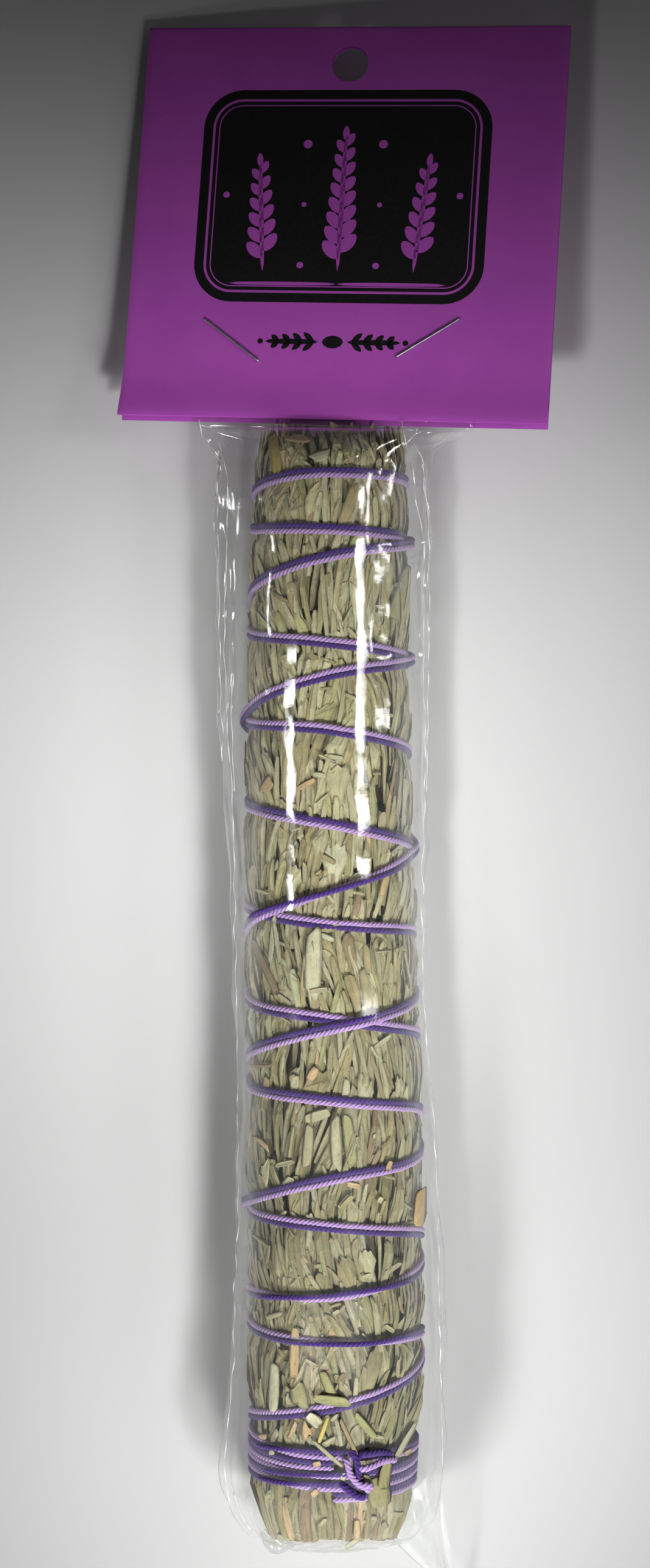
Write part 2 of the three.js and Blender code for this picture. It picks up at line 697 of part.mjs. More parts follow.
const stick = new THREE.Group();
for (let i = 0; i < OUTER_SPRIGS; i += 1) {
  stick.add(namedMesh(`sage_sprig_${String(i + 1).padStart(2, '0')}`, outerSprig(i), sageLeaf));
}
for (let i = 0; i < HEART_SPRIGS; i += 1) {
  stick.add(namedMesh(`heart_sprig_${i + 1}`, heartSprig(i), sageHeart));
}
const samples = threadSamples();
stick.add(namedMesh('thread_dark', threadStrand(samples, 1), darkCotton));
stick.add(namedMesh('thread_light', threadStrand(samples, -1), lightCotton));
stick.add(namedMesh('clear_bag', clearBag(), clearFilm));

const header = new THREE.Group();
header.position.copy(CARD_PLACE);
header.rotation.copy(CARD_TURN);
header.add(namedMesh('header_card', headerCard(), purpleCard));
for (const [name, ends] of Object.entries(STAPLES)) {
  header.add(namedMesh(name, staple(ends), steelWire));
}

// The origin is under the middle of the whole, on the surface it lies on.
const packed = new THREE.Group();
packed.add(stick, header);
const reach = new THREE.Box3().setFromObject(packed, true);
const middle = reach.getCenter(new THREE.Vector3());
packed.position.set(-middle.x, -middle.y, -reach.min.z);

export default packed;
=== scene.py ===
"""A dried sage smudge stick, wound with a doubled cotton thread, in a clear bag with a header card.

Sizes are millimetres in the stick's own frame, where X = 0 and Y = 0 lie under the camera, the leaf
tips point to +Y and +Z is up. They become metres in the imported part's frame when a mesh is made.
"""

import logging
import math
from dataclasses import dataclass, field
from enum import Enum
from types import MappingProxyType
from typing import Any, Callable, ClassVar, Mapping, Sequence, Union

import bpy
import numpy as np
from mathutils import Matrix, Vector


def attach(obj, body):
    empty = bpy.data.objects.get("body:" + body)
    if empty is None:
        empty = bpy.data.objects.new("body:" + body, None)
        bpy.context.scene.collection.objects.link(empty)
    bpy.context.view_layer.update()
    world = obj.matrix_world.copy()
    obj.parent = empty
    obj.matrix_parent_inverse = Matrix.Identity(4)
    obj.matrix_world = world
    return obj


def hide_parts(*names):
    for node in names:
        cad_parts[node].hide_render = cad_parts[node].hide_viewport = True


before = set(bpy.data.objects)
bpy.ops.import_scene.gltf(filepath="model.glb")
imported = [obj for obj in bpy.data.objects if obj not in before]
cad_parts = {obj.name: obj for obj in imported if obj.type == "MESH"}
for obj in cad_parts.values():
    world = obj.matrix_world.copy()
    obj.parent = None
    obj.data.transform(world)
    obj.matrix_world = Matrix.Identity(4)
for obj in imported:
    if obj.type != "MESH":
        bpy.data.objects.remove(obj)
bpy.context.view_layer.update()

log = logging.getLogger("smudge_stick")

METRES_PER_MM = 0.001
NO_VALUES = MappingProxyType({})
STICK_TO_PART = np.array([-3.2232, 5.2193, 0.0])
BODY = "root"

Array = np.ndarray
Socket = bpy.types.NodeSocket
Material = bpy.types.Material
Colour = tuple[float, float, float]
Pair = tuple[float, float]
Number = Union[Array, float]
Term = Union["Value", float]


def srgb(red: float, green: float, blue: float) -> Colour:
    """Turns a display colour, 0 to 255, into linear light."""
    levels = [c / 255 for c in (red, green, blue)]
    return tuple(c / 12.92 if c <= 0.04045 else ((c + 0.055) / 1.055) ** 2.4 for c in levels)


def smooth(value: Array, low: float, high: float) -> Array:
    """Rises smoothly from 0 at low to 1 at high."""
    t = np.clip((np.asarray(value, float) - low) / (high - low), 0, 1)
    return t * t * (3 - 2 * t)


def unit(vectors: Array) -> Array:
    """Scales the vectors in the last axis to length 1."""
    return vectors / np.maximum(np.linalg.norm(vectors, axis=-1, keepdims=True), 1e-9)


def once_round(count: int) -> Array:
    """Returns even directions once round a circle, clockwise."""
    return np.linspace(2 * math.pi, 0, count, endpoint=False)


def run_along(points: Array) -> Array:
    """Returns the distance along a line of points at each of them."""
    return np.concatenate([[0], np.cumsum(np.linalg.norm(np.diff(points, axis=0), axis=1))])


def cross_axes(line: Array, outward: Array) -> tuple[Array, Array]:
    """Returns two directions square to a line at each of its points.

    Args:
        line: The points.
        outward: Roughly the second direction.

    Returns:
        The first and the second direction.
    """
    forward = unit(np.gradient(line, axis=0))
    across = unit(np.cross(outward, forward))
    return across, np.cross(forward, across)


def eased(t: Array, start: Array, end: Array, leaving: Array, arriving: Array) -> Array:
    """Runs a cubic from start to end as t goes from 0 to 1, with the slopes given at its ends."""
    places = (2 * t**3 - 3 * t**2 + 1) * start + (3 * t**2 - 2 * t**3) * end
    return places + (t**3 - 2 * t**2 + t) * leaving + (t**3 - t**2) * arriving


def curve_through(values: Sequence[float], where: Array) -> Array:
    """Runs a smooth curve through values at whole numbers that never swings past its neighbours.

    Args:
        values: The values at 0, 1, 2 and so on.
        where: The places to read.

    Returns:
        The curve there.
    """
    known = np.asarray(values, float)
    step = np.diff(known)
    before, after = np.concatenate([[0], step]), np.concatenate([step, [0]])
    gentlest = 3 * np.minimum(np.abs(before), np.abs(after))
    slope = np.sign(before) * np.minimum(np.abs(before + after) / 2, gentlest)
    slope = np.where(before * after <= 0, 0, slope)
    i = np.clip(np.floor(where).astype(int), 0, len(known) - 2)
    return eased(where - i, known[i], known[i + 1], slope[i], slope[i + 1])


def new_object(name: str, data: bpy.types.ID) -> bpy.types.Object:
    """Puts a new object into the scene.

    Args:
        name: Its name.
        data: Its mesh, camera or lamp.

    Returns:
        The object.
    """
    made = bpy.data.objects.new(name, data)
    bpy.context.scene.collection.objects.link(made)
    return made


class Waves:
    """A smooth random field on a plane, made of plane waves."""

    def __init__(self, seed: int, shortest: float, longest: float, count: int = 10,
                 stretch: float = 1.0) -> None:
        """Draws the waves.

        Args:
            seed: The random seed.
            shortest: The shortest wavelength.
            longest: The longest wavelength.
            count: How many waves there are.
            stretch: How many times longer the field's features are along the second axis.
        """
        rng = np.random.default_rng(seed)
        turn = rng.uniform(0, 2 * math.pi, count)
        rate = 2 * math.pi / rng.uniform(shortest, longest, count)
        self.rates = np.stack([np.cos(turn) * rate, np.sin(turn) * rate / stretch])
        self.phases = rng.uniform(0, 2 * math.pi, count)

    def _summed(self, across: Array, along: Array, profile: Callable[[Array], Array]) -> Array:
        """Adds up the waves and evens the sum out for their number.

        Args:
            across: Places along the first axis.
            along: Places along the second axis.
            profile: The waves' form, as a function of their phase.

        Returns:
            The sum at each place.
        """
        total = np.zeros(np.broadcast(across, along).shape)
        for rate_across, rate_along, start in zip(*self.rates, self.phases):
            total = total + profile(across * rate_across + along * rate_along + start)
        return total / math.sqrt(len(self.phases))

    def __call__(self, across: Array, along: Array) -> Array:
        """Returns the field, mostly between -1 and 1, at the given places."""
        return self._summed(across, along, np.sin) * 0.9

    def creased(self, across: Array, along: Array) -> Array:
        """Returns a field of flat facets with sharp creases between them."""
        return self._summed(across, along, lambda phase: np.abs((phase / (2 * math.pi)) % 1 - 0.5) * 4 - 1)


@dataclass
class Surface:
    """The points, faces and per-point values of a mesh, in stick millimetres."""

    points: Array
    quads: Array
    triangles: Array
    values: dict[str, Array] = field(default_factory=dict)

    @staticmethod
    def joined(parts: Sequence["Surface"]) -> "Surface":
        """Joins several surfaces into one.

        Args:
            parts: The surfaces, which all have the same values.

        Returns:
            One surface with all their points and faces.
        """
        starts = np.cumsum([0] + [len(part.points) for part in parts])
        return Surface(
            np.concatenate([part.points for part in parts]),
            np.concatenate([part.quads + start for part, start in zip(parts, starts)]),
            np.concatenate([part.triangles + start for part, start in zip(parts, starts)]),
            {name: np.concatenate([part.values[name] for part in parts]) for name in parts[0].values},
        )

    @staticmethod
    def _of(points: Array, quads: Array, triangles: Sequence[Array],
            values: Mapping[str, Number]) -> "Surface":
        """Makes a surface, and gives every point its own copy of each value.

        Args:
            points: The points, in an array of any shape.
            quads: The corners of the faces with four.
            triangles: The corners of those with three, in groups.
            values: The values, which spread over the points.

        Returns:
            The surface.
        """
        flat = {name: np.broadcast_to(value, points.shape[:-1]).reshape(-1) for name, value in values.items()}
        corners = np.concatenate([np.zeros((0, 3), int), *triangles])
        return Surface(points.reshape(-1, 3), quads.reshape(-1, 4), corners, flat)

    @staticmethod
    def tubes(rings: Array, values: Mapping[str, Number], closed: bool = True) -> "Surface":
        """Skins many tubes of the same number of rings at once.

        Args:
            rings: Points as [tube, ring, place round the ring, axis].
            values: Values for each [tube, ring, place round the ring], or fewer that spread over them.
            closed: Whether the end rings get caps.

        Returns:
            The skinned tubes.
        """
        index = np.arange(rings[..., 0].size).reshape(rings.shape[:3])
        after = np.roll(index, -1, axis=2)
        quads = np.stack([index[:, :-1], after[:, :-1], after[:, 1:], index[:, 1:]], axis=-1)
        fans = []
        if closed:
            first, last = index[:, 0], index[:, -1]
            for j in range(1, rings.shape[2] - 1):
                fans.append(np.stack([first[:, 0], first[:, j + 1], first[:, j]], axis=-1))
                fans.append(np.stack([last[:, 0], last[:, j], last[:, j + 1]], axis=-1))
        return Surface._of(rings, quads, fans, values)

    @staticmethod
    def sheet(grid: Array, values: Mapping[str, Number] = NO_VALUES) -> "Surface":
        """Makes an open sheet of points, as [row, column, axis], with values that spread over it."""
        index = np.arange(grid[..., 0].size).reshape(grid.shape[:2])
        return Surface._of(grid, Surface.cells(index), (), values)

    @staticmethod
    def cells(index: Array) -> Array:
        """Returns the corners of each cell of a grid of numbered points."""
        return np.stack([index[:-1, :-1], index[:-1, 1:], index[1:, 1:], index[1:, :-1]], axis=-1)

    def piece(self, name: str, material: Material, slot: str,
              stands_for: Sequence[str] = (), rounded: bool = True) -> bpy.types.Object:
        """Makes the mesh a piece of the stick.

        Args:
            name: The piece's name.
            material: Its finish.
            slot: The record's material slot; not used.
            stands_for: The CAD nodes that it replaces.
            rounded: Whether its faces are shaded smooth.

        Returns:
            The Blender object.
        """
        mesh = bpy.data.meshes.new(name)
        places = (self.points + STICK_TO_PART) * METRES_PER_MM
        corners = np.concatenate([self.quads.reshape(-1), self.triangles.reshape(-1)])
        sizes = np.concatenate([np.full(len(self.quads), 4), np.full(len(self.triangles), 3)])
        mesh.vertices.add(len(places))
        mesh.vertices.foreach_set("co", places.astype(np.float32).ravel())
        mesh.loops.add(len(corners))
        mesh.loops.foreach_set("vertex_index", corners.astype(np.int32))
        mesh.polygons.add(len(sizes))
        mesh.polygons.foreach_set("loop_start", np.concatenate([[0], np.cumsum(sizes)[:-1]]).astype(np.int32))
        mesh.polygons.foreach_set("use_smooth", np.full(len(sizes), rounded))
        mesh.update(calc_edges=True)
        for title, value in self.values.items():
            store = mesh.attributes.new(title, "FLOAT", "POINT")
            store.data.foreach_set("value", value.astype(np.float32))
        mesh.validate()
        mesh.materials.append(material)
        made = new_object(name, mesh)
        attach(made, BODY)
        if stands_for:
            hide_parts(*stands_for)
        log.info("%s: %d triangles", name, 2 * len(self.quads) + len(self.triangles))
        return made


def operator(operation: str, swapped: bool = False) -> Callable[["Value", Term], "Value"]:
    """Makes an arithmetic method of Value that adds a Math node.

    Args:
        operation: The node's operation.
        swapped: Whether the other term comes first.

    Returns:
        The method.
    """
    def method(self: "Value", other: Term) -> "Value":
        """Returns the result of the operation."""
        return self.math(operation, *((other, self) if swapped else (self, other)))

    return method


class Value:
    """A shader socket that holds a number, with Python's arithmetic on it."""

    def __init__(self, tree: "Finish", socket: Socket) -> None:
        """Wraps a socket of a node in the tree."""
        self.tree = tree
        self.socket = socket

    def math(self, operation: str, *terms: Term) -> "Value":
        """Adds one Math node and returns its result."""
        node = self.tree.node("ShaderNodeMath", {"operation": operation}, dict(enumerate(terms)))
        return Value(self.tree, node.outputs[0])

    __add__ = __radd__ = operator("ADD")
    __mul__ = __rmul__ = operator("MULTIPLY")
    __sub__ = operator("SUBTRACT")
    __rsub__ = operator("SUBTRACT", swapped=True)
    __truediv__ = operator("DIVIDE")
    __pow__ = operator("POWER")

    def limited(self) -> "Value":
        """Returns the value held between 0 and 1."""
        return self.math("MAXIMUM", self.math("MINIMUM", self, 1.0), 0.0)

    def rising(self, low: float, high: float) -> "Value":
        """Returns a straight rise from 0 at low to 1 at high."""
        return ((self - low) / (high - low)).limited()


class Finish:
    """A material and the nodes that make it."""

    def __init__(self, name: str) -> None:
        """Starts an empty material.

        Args:
            name: The material's name.
        """
        self.material = bpy.data.materials.new(name)
        self.material.use_nodes = True
        self.nodes = self.material.node_tree.nodes
        self.nodes.clear()
        self.output = self.nodes.new("ShaderNodeOutputMaterial")

    def node(self, kind: str, settings: Mapping[str, Any] | None = None,
             sockets: Mapping[Union[str, int], Any] | None = None) -> bpy.types.Node:
        """Adds a node.

        Args:
            kind: The node's type.
            settings: Its settings, set first.
            sockets: The value or link of each input that isn't left at its default.

        Returns:
            The node.
        """
        node = self.nodes.new(kind)
        for name, value in (settings or {}).items():
            setattr(node, name, value)
        for name, value in (sockets or {}).items():
            socket = node.inputs[name]
            source = value.socket if isinstance(value, Value) else value
            if isinstance(source, Socket):
                self.material.node_tree.links.new(source, socket)
            else:
                plain_colour = socket.type == "RGBA" and isinstance(source, tuple) and len(source) == 3
                socket.default_value = (*source, 1.0) if plain_colour else source
        return node

    def attribute(self, name: str) -> Value:
        """Returns a value that the mesh holds at each point."""
        node = self.node("ShaderNodeAttribute", {"attribute_name": name})
        return Value(self, node.outputs["Fac"])

    def place(self) -> Socket:
        """Returns the place on the object, in metres."""
        return self.node("ShaderNodeTexCoord").outputs["Object"]

    def joined_vector(self, x: Term, y: Term, z: Term) -> Socket:
        """Returns a vector of three numbers."""
        return self.node("ShaderNodeCombineXYZ", None, {0: x, 1: y, 2: z}).outputs[0]

    def noise(self, vector: Socket, scale: float, detail: float = 2.0) -> Value:
        """Returns a noise from 0 to 1, of so many cells for each unit of length."""
        node = self.node("ShaderNodeTexNoise", None, {"Vector": vector, "Scale": scale, "Detail": detail})
        return Value(self, node.outputs["Fac"])

    def ramp(self, factor: Value, stops: Sequence[tuple[float, Colour]]) -> Socket:
        """Returns the colour that a ramp has at a factor.

        Args:
            factor: The place on the ramp.
            stops: Each stop's place and colour.

        Returns:
            The colour.
        """
        node = self.node("ShaderNodeValToRGB", None, {"Fac": factor})
        elements = node.color_ramp.elements
        while len(elements) < len(stops):
            elements.new(1.0)
        for element, (place, colour) in zip(elements, stops):
            element.position = place
            element.color = (*colour, 1.0)
        return node.outputs["Color"]

    def mixed(self, factor: Term, first: Any, second: Any) -> Socket:
        """Mixes two colours by the factor, which is the share of the second one."""
        node = self.node("ShaderNodeMix", {"data_type": "RGBA"}, {0: factor, 6: first, 7: second})
        return node.outputs[2]

    def shaded(self, colour: Any, shade: Value) -> Socket:
        """Returns the colour multiplied by a number."""
        node = self.node("ShaderNodeVectorMath", {"operation": "SCALE"}, {0: colour, "Scale": shade})
        return node.outputs[0]

    def bumped(self, height: Value, distance: float, strength: float) -> Socket:
        """Returns the normal of a surface raised by a height, whose unit is the distance in metres."""
        sockets = {"Strength": strength, "Distance": distance, "Height": height}
        return self.node("ShaderNodeBump", None, sockets).outputs[0]

    def principled(self, sockets: Mapping[str, Any]) -> Material:
        """Ends the tree in a Principled shader with the given inputs and returns the material."""
        return self.finish(self.node("ShaderNodeBsdfPrincipled", None, sockets).outputs[0])

    def finish(self, shader: Socket) -> Material:
        """Ends the tree in the given shader and returns the material."""
        self.material.node_tree.links.new(shader, self.output.inputs["Surface"])
        return self.material


@dataclass(frozen=True)
class DryLeaf:
    """Matte, felted grey-green sage leaf with lengthwise veins; painted shade darkens edges, cracks and deep
    roots.
    """

    # dark is a painted shade colour, which leaves that lie deep among the others are mixed toward.
    dark: Colour = srgb(42, 38, 26)
    brown: Colour = srgb(142, 122, 96)
    olive: Colour = srgb(155, 145, 105)
    green: Colour = srgb(150, 151, 106)
    grey: Colour = srgb(173, 170, 137)
    pale: Colour = srgb(187, 186, 154)
    tan: Colour = srgb(190, 164, 124)
    yellow: Colour = srgb(190, 172, 96)

    def material(self) -> Material:
        """Builds the material.

        Returns:
            The material.
        """
        m = Finish("dry_sage_leaf")
        sunk = m.attribute("sunk")
        across = m.attribute("across")
        along = m.attribute("along")
        seed = m.attribute("seed")
        base = m.ramp(m.attribute("tint"), [
            (0.0, self.brown), (0.14, self.olive), (0.38, self.grey), (0.56, self.olive), (0.72, self.green),
            (0.84, self.pale), (0.93, self.grey), (0.95, self.tan), (0.975, self.tan), (1.0, self.yellow),
        ])
        wander = m.noise(m.joined_vector(across * 0.6, along * 0.5, seed * 53.0), 1.0, 1.0)
        veins = m.noise(m.joined_vector(across + wander * 0.8, along * 0.1, seed * 37.0), 4.6, 2.0)
        felt = m.noise(m.place(), 2600.0, 2.0)
        blotch = m.noise(m.joined_vector(across * 0.5, along * 0.35, seed * 91.0), 1.2, 3.0)
        # Painted shade in cracks along the veins; light mixes it with the vein, felt and blotch tones.
        painted_crack_shade = veins.rising(0.26, 0.4)
        light = (0.66 + painted_crack_shade * 0.34) * (0.84 + veins * 0.3 + (felt - 0.5) * 0.4 + (blotch - 0.5) * 0.55)
        # Painted shade along each blade's rims, where it meets its neighbours.
        edge = 1.0 - m.attribute("edge") * 0.38
        # Painted shade: the deeper a leaf lies among the others, the darker it is painted, nearly to black.
        deep = 1.0 - sunk.rising(0.18, 0.85) * 0.94
        tone = m.attribute("shade") * light * edge * deep
        return m.principled({
            "Base Color": m.shaded(m.mixed(sunk.rising(0.35, 1.0) * 0.6, base, self.dark), tone * 1.1),
            "Roughness": 0.76 + (felt - 0.5) * 0.2,
            "Specular IOR Level": 0.22,
            "Sheen Weight": 0.1,
            "Normal": m.bumped(veins * 0.7 + felt * 0.3, 0.0003, 0.45),
        })


@dataclass(frozen=True)
class DryHeart:
    """The inside of the bundle, painted a dark brown as the shade between the leaves, and its cut stems, with
    pale pith.
    """

    # shade is a painted shade colour for the body under the leaves.
    shade: Colour = srgb(52, 46, 28)
    bark: Colour = srgb(122, 104, 70)
    pith: Colour = srgb(196, 178, 132)

    def material(self) -> Material:
        """Builds the material.

        Returns:
            The material.
        """
        m = Finish("dry_heart_and_stems")
        tint = m.attribute("tint")
        grain = m.noise(m.joined_vector(m.attribute("across"), m.attribute("along") * 0.12, tint), 5.0, 3.0)
        colour = m.ramp(tint, [(0.0, self.shade), (0.45, self.bark), (0.8, self.bark), (1.0, self.pith)])
        return m.principled({
            "Base Color": m.shaded(colour, 0.6 + grain * 0.8),
            "Roughness": 0.9,
            "Specular IOR Level": 0.2,
            "Normal": m.bumped(grain, 0.0003, 0.6),
        })


@dataclass(frozen=True)
class PliedCotton:
    """Matte three-ply cotton thread with fine fibres; painted shade in its grooves and a patchy painted
    highlight on the crests.
    """

    name: str
    dye: Colour
    crest: Colour
    groove: Colour

    def material(self) -> Material:
        """Builds the material.

        Returns:
            The material.
        """
        m = Finish(self.name)
        ply = m.attribute("ply")
        along = m.attribute("along")
        around = m.attribute("around")
        fibre = m.noise(m.joined_vector(around * 9.0 + along * 1.6, along * 1.1, ply), 2.2, 3.0)
        highlight_patches = m.noise(m.joined_vector(along * 0.11, around, 0.0), 1.0, 1.0)
        # Painted shade in the grooves between the plies, and below, a patchy painted highlight on their
        # crests.
        body = m.mixed(ply.rising(0.25, 0.8), self.groove, self.dye)
        lit = m.mixed((fibre.rising(0.45, 0.75) * ply * (0.35 + highlight_patches * 0.5)).limited(), body, self.crest)
        return m.principled({
            "Base Color": m.shaded(lit, 0.78 + fibre * 0.44),
            "Roughness": 0.85,
            "Specular IOR Level": 0.2,
            "Sheen Weight": 0.25,
            "Normal": m.bumped(fibre, 0.00012, 0.7),
        })


@dataclass(frozen=True)
class ClearFilm:
    """Clear crinkled cellophane: two gloss faces over nothing, milky where it is folded or edge on.

    The milk is a white veil: haze on the folds, partly haze and partly painted reflection edge on, and a
    painted glint on the crease lines. The mesh's fold tells how milky it is, its shade how dark the milk
    is painted in shade, and its dull how rubbed it is.
    """

    ior: float = 1.5
    haze: Colour = srgb(228, 232, 230)
    # shadow is the painted shade colour that the milk darkens toward at the flap's edge and in the tuck.
    shadow: Colour = srgb(66, 66, 62)

    def material(self) -> Material:
        """Builds the material.

        Returns:
            The material.
        """
        m = Finish("clear_cellophane")
        place = m.place()
        fine = m.noise(place, 900.0, 2.0)
        broad = m.noise(place, 220.0, 1.0)
        normal = m.bumped(fine * 0.35 + broad, 0.0001, 0.35)
        straight = ((self.ior - 1) / (self.ior + 1)) ** 2
        turned_away = m.node("ShaderNodeLayerWeight", None, {"Blend": 0.5, "Normal": normal})
        edge_on = Value(m, turned_away.outputs["Facing"])
        dull = m.attribute("dull")
        one_face = straight + edge_on ** 5.0 * (1 - straight)
        gloss = m.node("ShaderNodeBsdfGlossy", None, {
            "Color": (1.0, 1.0, 1.0), "Roughness": dull * 0.36 + 0.09, "Normal": normal,
        })
        clear = m.node("ShaderNodeBsdfTransparent", None, {"Color": (0.99, 0.99, 0.985)})
        milky = m.mixed(m.attribute("shade"), self.haze, self.shadow)
        veil = m.node("ShaderNodeBsdfDiffuse", None, {"Color": milky, "Normal": normal})
        # Edge on, the veil is partly haze and partly a painted reflection of the film's grazing shine.
        milk = (0.01 + edge_on ** 2.0 * 0.4 + m.attribute("fold") * 0.5).limited()
        hazed = m.node("ShaderNodeMixShader", None, {0: milk, 1: clear.outputs[0], 2: veil.outputs[0]})
        both_faces = (one_face * 2.0 / (one_face + 1.0) * (1.0 - dull * 0.88)).limited()
        faces = {0: both_faces, 1: hazed.outputs[0], 2: gloss.outputs[0]}
        return m.finish(m.node("ShaderNodeMixShader", None, faces).outputs[0])


@dataclass(frozen=True)
class PurpleCard:
    """Uncoated purple card stock with short fibres and faint scuffs."""

    ink: Colour = srgb(189, 85, 195)
    deep: Colour = srgb(168, 68, 182)
    fibre: Colour = srgb(206, 124, 214)

    def material(self) -> Material:
        """Builds the material.

        Returns:
            The material.
        """
        m = Finish("purple_card_stock")
        place = m.place()
        cloud = m.noise(place, 90.0, 3.0)
        grain = m.noise(place, 3800.0, 2.0)
        long_way = m.node("ShaderNodeMapping", None, {"Vector": place, "Scale": (1400.0, 5200.0, 5200.0)})
        strands = m.noise(long_way.outputs[0], 1.0, 2.0)
        base = m.mixed(cloud.rising(0.35, 0.7) * 0.35, self.ink, self.deep)
        flecked = m.mixed(strands.rising(0.62, 0.8) * 0.28, base, self.fibre)
        return m.principled({
            "Base Color": m.shaded(flecked, 0.93 + grain * 0.14),
            "Roughness": 0.62 + grain * 0.16,
            "Specular IOR Level": 0.35,
            "Normal": m.bumped(grain * 0.6 + strands * 0.4, 0.00006, 0.5),
        })


@dataclass(frozen=True)
class BlackPrint:
    """Black toner laid on the card, a little glossier than the stock."""

    toner: Colour = srgb(9, 6, 10)

    def material(self) -> Material:
        """Builds the material.

        Returns:
            The material.
        """
        m = Finish("black_print")
        mottle = m.noise(m.place(), 1500.0, 3.0)
        return m.principled({
            "Base Color": m.shaded(self.toner, 0.7 + mottle * 0.6),
            "Roughness": 0.42 + mottle * 0.2,
            "Specular IOR Level": 0.5,
            "Normal": m.bumped(mottle, 0.00003, 0.5),
        })


@dataclass(frozen=True)
class StapleWire:
    """Zinc-coated steel wire with fine draw lines."""

    metal: Colour = srgb(205, 206, 210)

    def material(self) -> Material:
        """Builds the material.

        Returns:
            The material.
        """
        m = Finish("staple_wire")
        around, along = m.attribute("around"), m.attribute("along")
        lines = m.noise(m.joined_vector(around * 6.0, along * 0.3, 0.0), 3.0, 2.0)
        return m.principled({
            "Base Color": m.shaded(self.metal, 0.85 + lines * 0.25),
            "Metallic": 1.0,
            "Roughness": 0.22 + lines * 0.2,
            "Normal": m.bumped(lines, 0.00002, 0.4),
        })


@dataclass(frozen=True)
class PaleFloor:
    """The plain pale surface that the stick lies on."""

    paint: Colour = srgb(206, 206, 206)

    def material(self) -> Material:
        """Builds the material.

        Returns:
            The material.
        """
        m = Finish("pale_floor")
        cloud = m.noise(m.place(), 14.0, 2.0)
        return m.principled({
            "Base Color": m.shaded(self.paint, 0.97 + cloud * 0.05),
            "Roughness": 0.6,
            "Specular IOR Level": 0.2,
        })


@dataclass(frozen=True)
class CardPose:
    """Where the header card lies: the middle of its lower edge, and its turns."""

    place: tuple[float, float, float] = (1.08, 63.41, 16.42)
    pitch: float = -5.95
    yaw: float = -10.1
    spin: float = -3.81

    def matrix(self) -> Matrix:
        """Builds the card's frame: across it, up from its lower edge, and out of its front.

        Returns:
            The frame as a matrix.
        """
        pose = Matrix.Translation(self.place)
        for degrees, axis in ((self.spin, "Z"), (self.pitch, "X"), (self.yaw, "Y")):
            pose = pose @ Matrix.Rotation(math.radians(degrees), 4, axis)
        return pose

    def point(self, across: Array, up: Array, out: Array) -> Array:
        """Returns places in the stick's frame, given in millimetres across, up and out of the card."""
        turn = np.array(self.matrix())
        return np.stack(np.broadcast_arrays(across, up, out), axis=-1) @ turn[:3, :3].T + turn[:3, 3]

    def axis(self, column: int) -> Array:
        """Returns one of the card's directions: 0 across, 1 up, 2 out."""
        return np.array(self.matrix())[:3, column]


@dataclass(frozen=True)
class BundleShape:
    """The bundle's envelope: half its thickness along its length, and where its middle runs.

    The unroll radius turns a direction round the bundle into a length for the fields of waves.
    """

    places: tuple[float, ...] = (-131.5, -128.0, -122.5, -112.0, -100.0, -60.0, -12.0, 19.0, 49.0, 56.5, 61.0)
    radii: tuple[float, ...] = (10.6, 12.3, 13.9, 14.2, 14.9, 14.8, 14.2, 13.7, 13.2, 12.7, 11.6)
    middles: tuple[float, ...] = (1.3, 1.3, 1.3, 1.6, 1.9, 1.8, 0.7, 0.5, 0.9, 1.1, 1.2)
    pressed_in: float = 1.4
    film_standoff: float = 2.65
    nose_start: float = 50.0
    nose_end: float = 61.0
    nose_half_height: float = 1.9
    card_height: float = 16.42
    unroll: float = 14.0

    def half_width(self, y: Array) -> Array:
        """Returns half the bundle's width at y."""
        return np.interp(y, self.places, self.radii)

    def middle_x(self, y: Array) -> Array:
        """Returns how far the bundle's middle is from X = 0 at y."""
        return np.interp(y, self.places, self.middles)

    def half_height(self, y: Array) -> Array:
        """Returns half the bundle's height, which closes to a blunt nose toward the card.

        Args:
            y: The place along it.

        Returns:
            Half the height there.
        """
        nose = np.clip((np.asarray(y) - self.nose_start) / (self.nose_end - self.nose_start), 0, 1)
        share = np.sqrt(1 - nose * nose)
        return self.nose_half_height * (1 - share) + self.half_width(y) * share

    def middle_z(self, y: Array) -> Array:
        """Returns how high the bundle's middle runs, from its rest on the film to the card.

        Args:
            y: The place along it.

        Returns:
            The height there.
        """
        rest = self.half_width(np.clip(y, -100, self.nose_start)) + self.film_standoff - self.pressed_in
        rise = smooth(y, self.nose_start - 1, self.nose_end)
        return rest * (1 - rise) + self.card_height * rise

    def point(self, phi: Array, y: Array, height: Array) -> Array:
        """Returns points over the envelope.

        Args:
            phi: The direction round the bundle, 0 to the right and a quarter turn at the top.
            y: The place along it.
            height: How far out from the envelope.

        Returns:
            The points, in the last axis.
        """
        phi, y, height = np.broadcast_arrays(phi, y, height)
        down = -np.sin(phi)
        z = self.middle_z(y)
        tall = self.half_height(y)
        room = (z / np.maximum(down, 1e-6) - self.film_standoff) / tall
        share = np.where(down > 0, np.minimum(1, room), 1)
        x = self.middle_x(y) + (self.half_width(y) * share + height) * np.cos(phi)
        return np.stack([x, y, z + (tall * share + height) * np.sin(phi)], axis=-1)


@dataclass(frozen=True)
class Pass:
    """One pass of the thread over the top, told at the left edge, the crown and the right edge.

    The places are along Y. The leads tell how far the pair is turned, in half turns: 0 puts the dark
    strand toward the leaf tips, 1 the light one.
    """

    places: tuple[float, float, float]
    leads: tuple[float, float, float] = (0, 0, 0)


LIGHT_LEADS = (1, 1, 1)


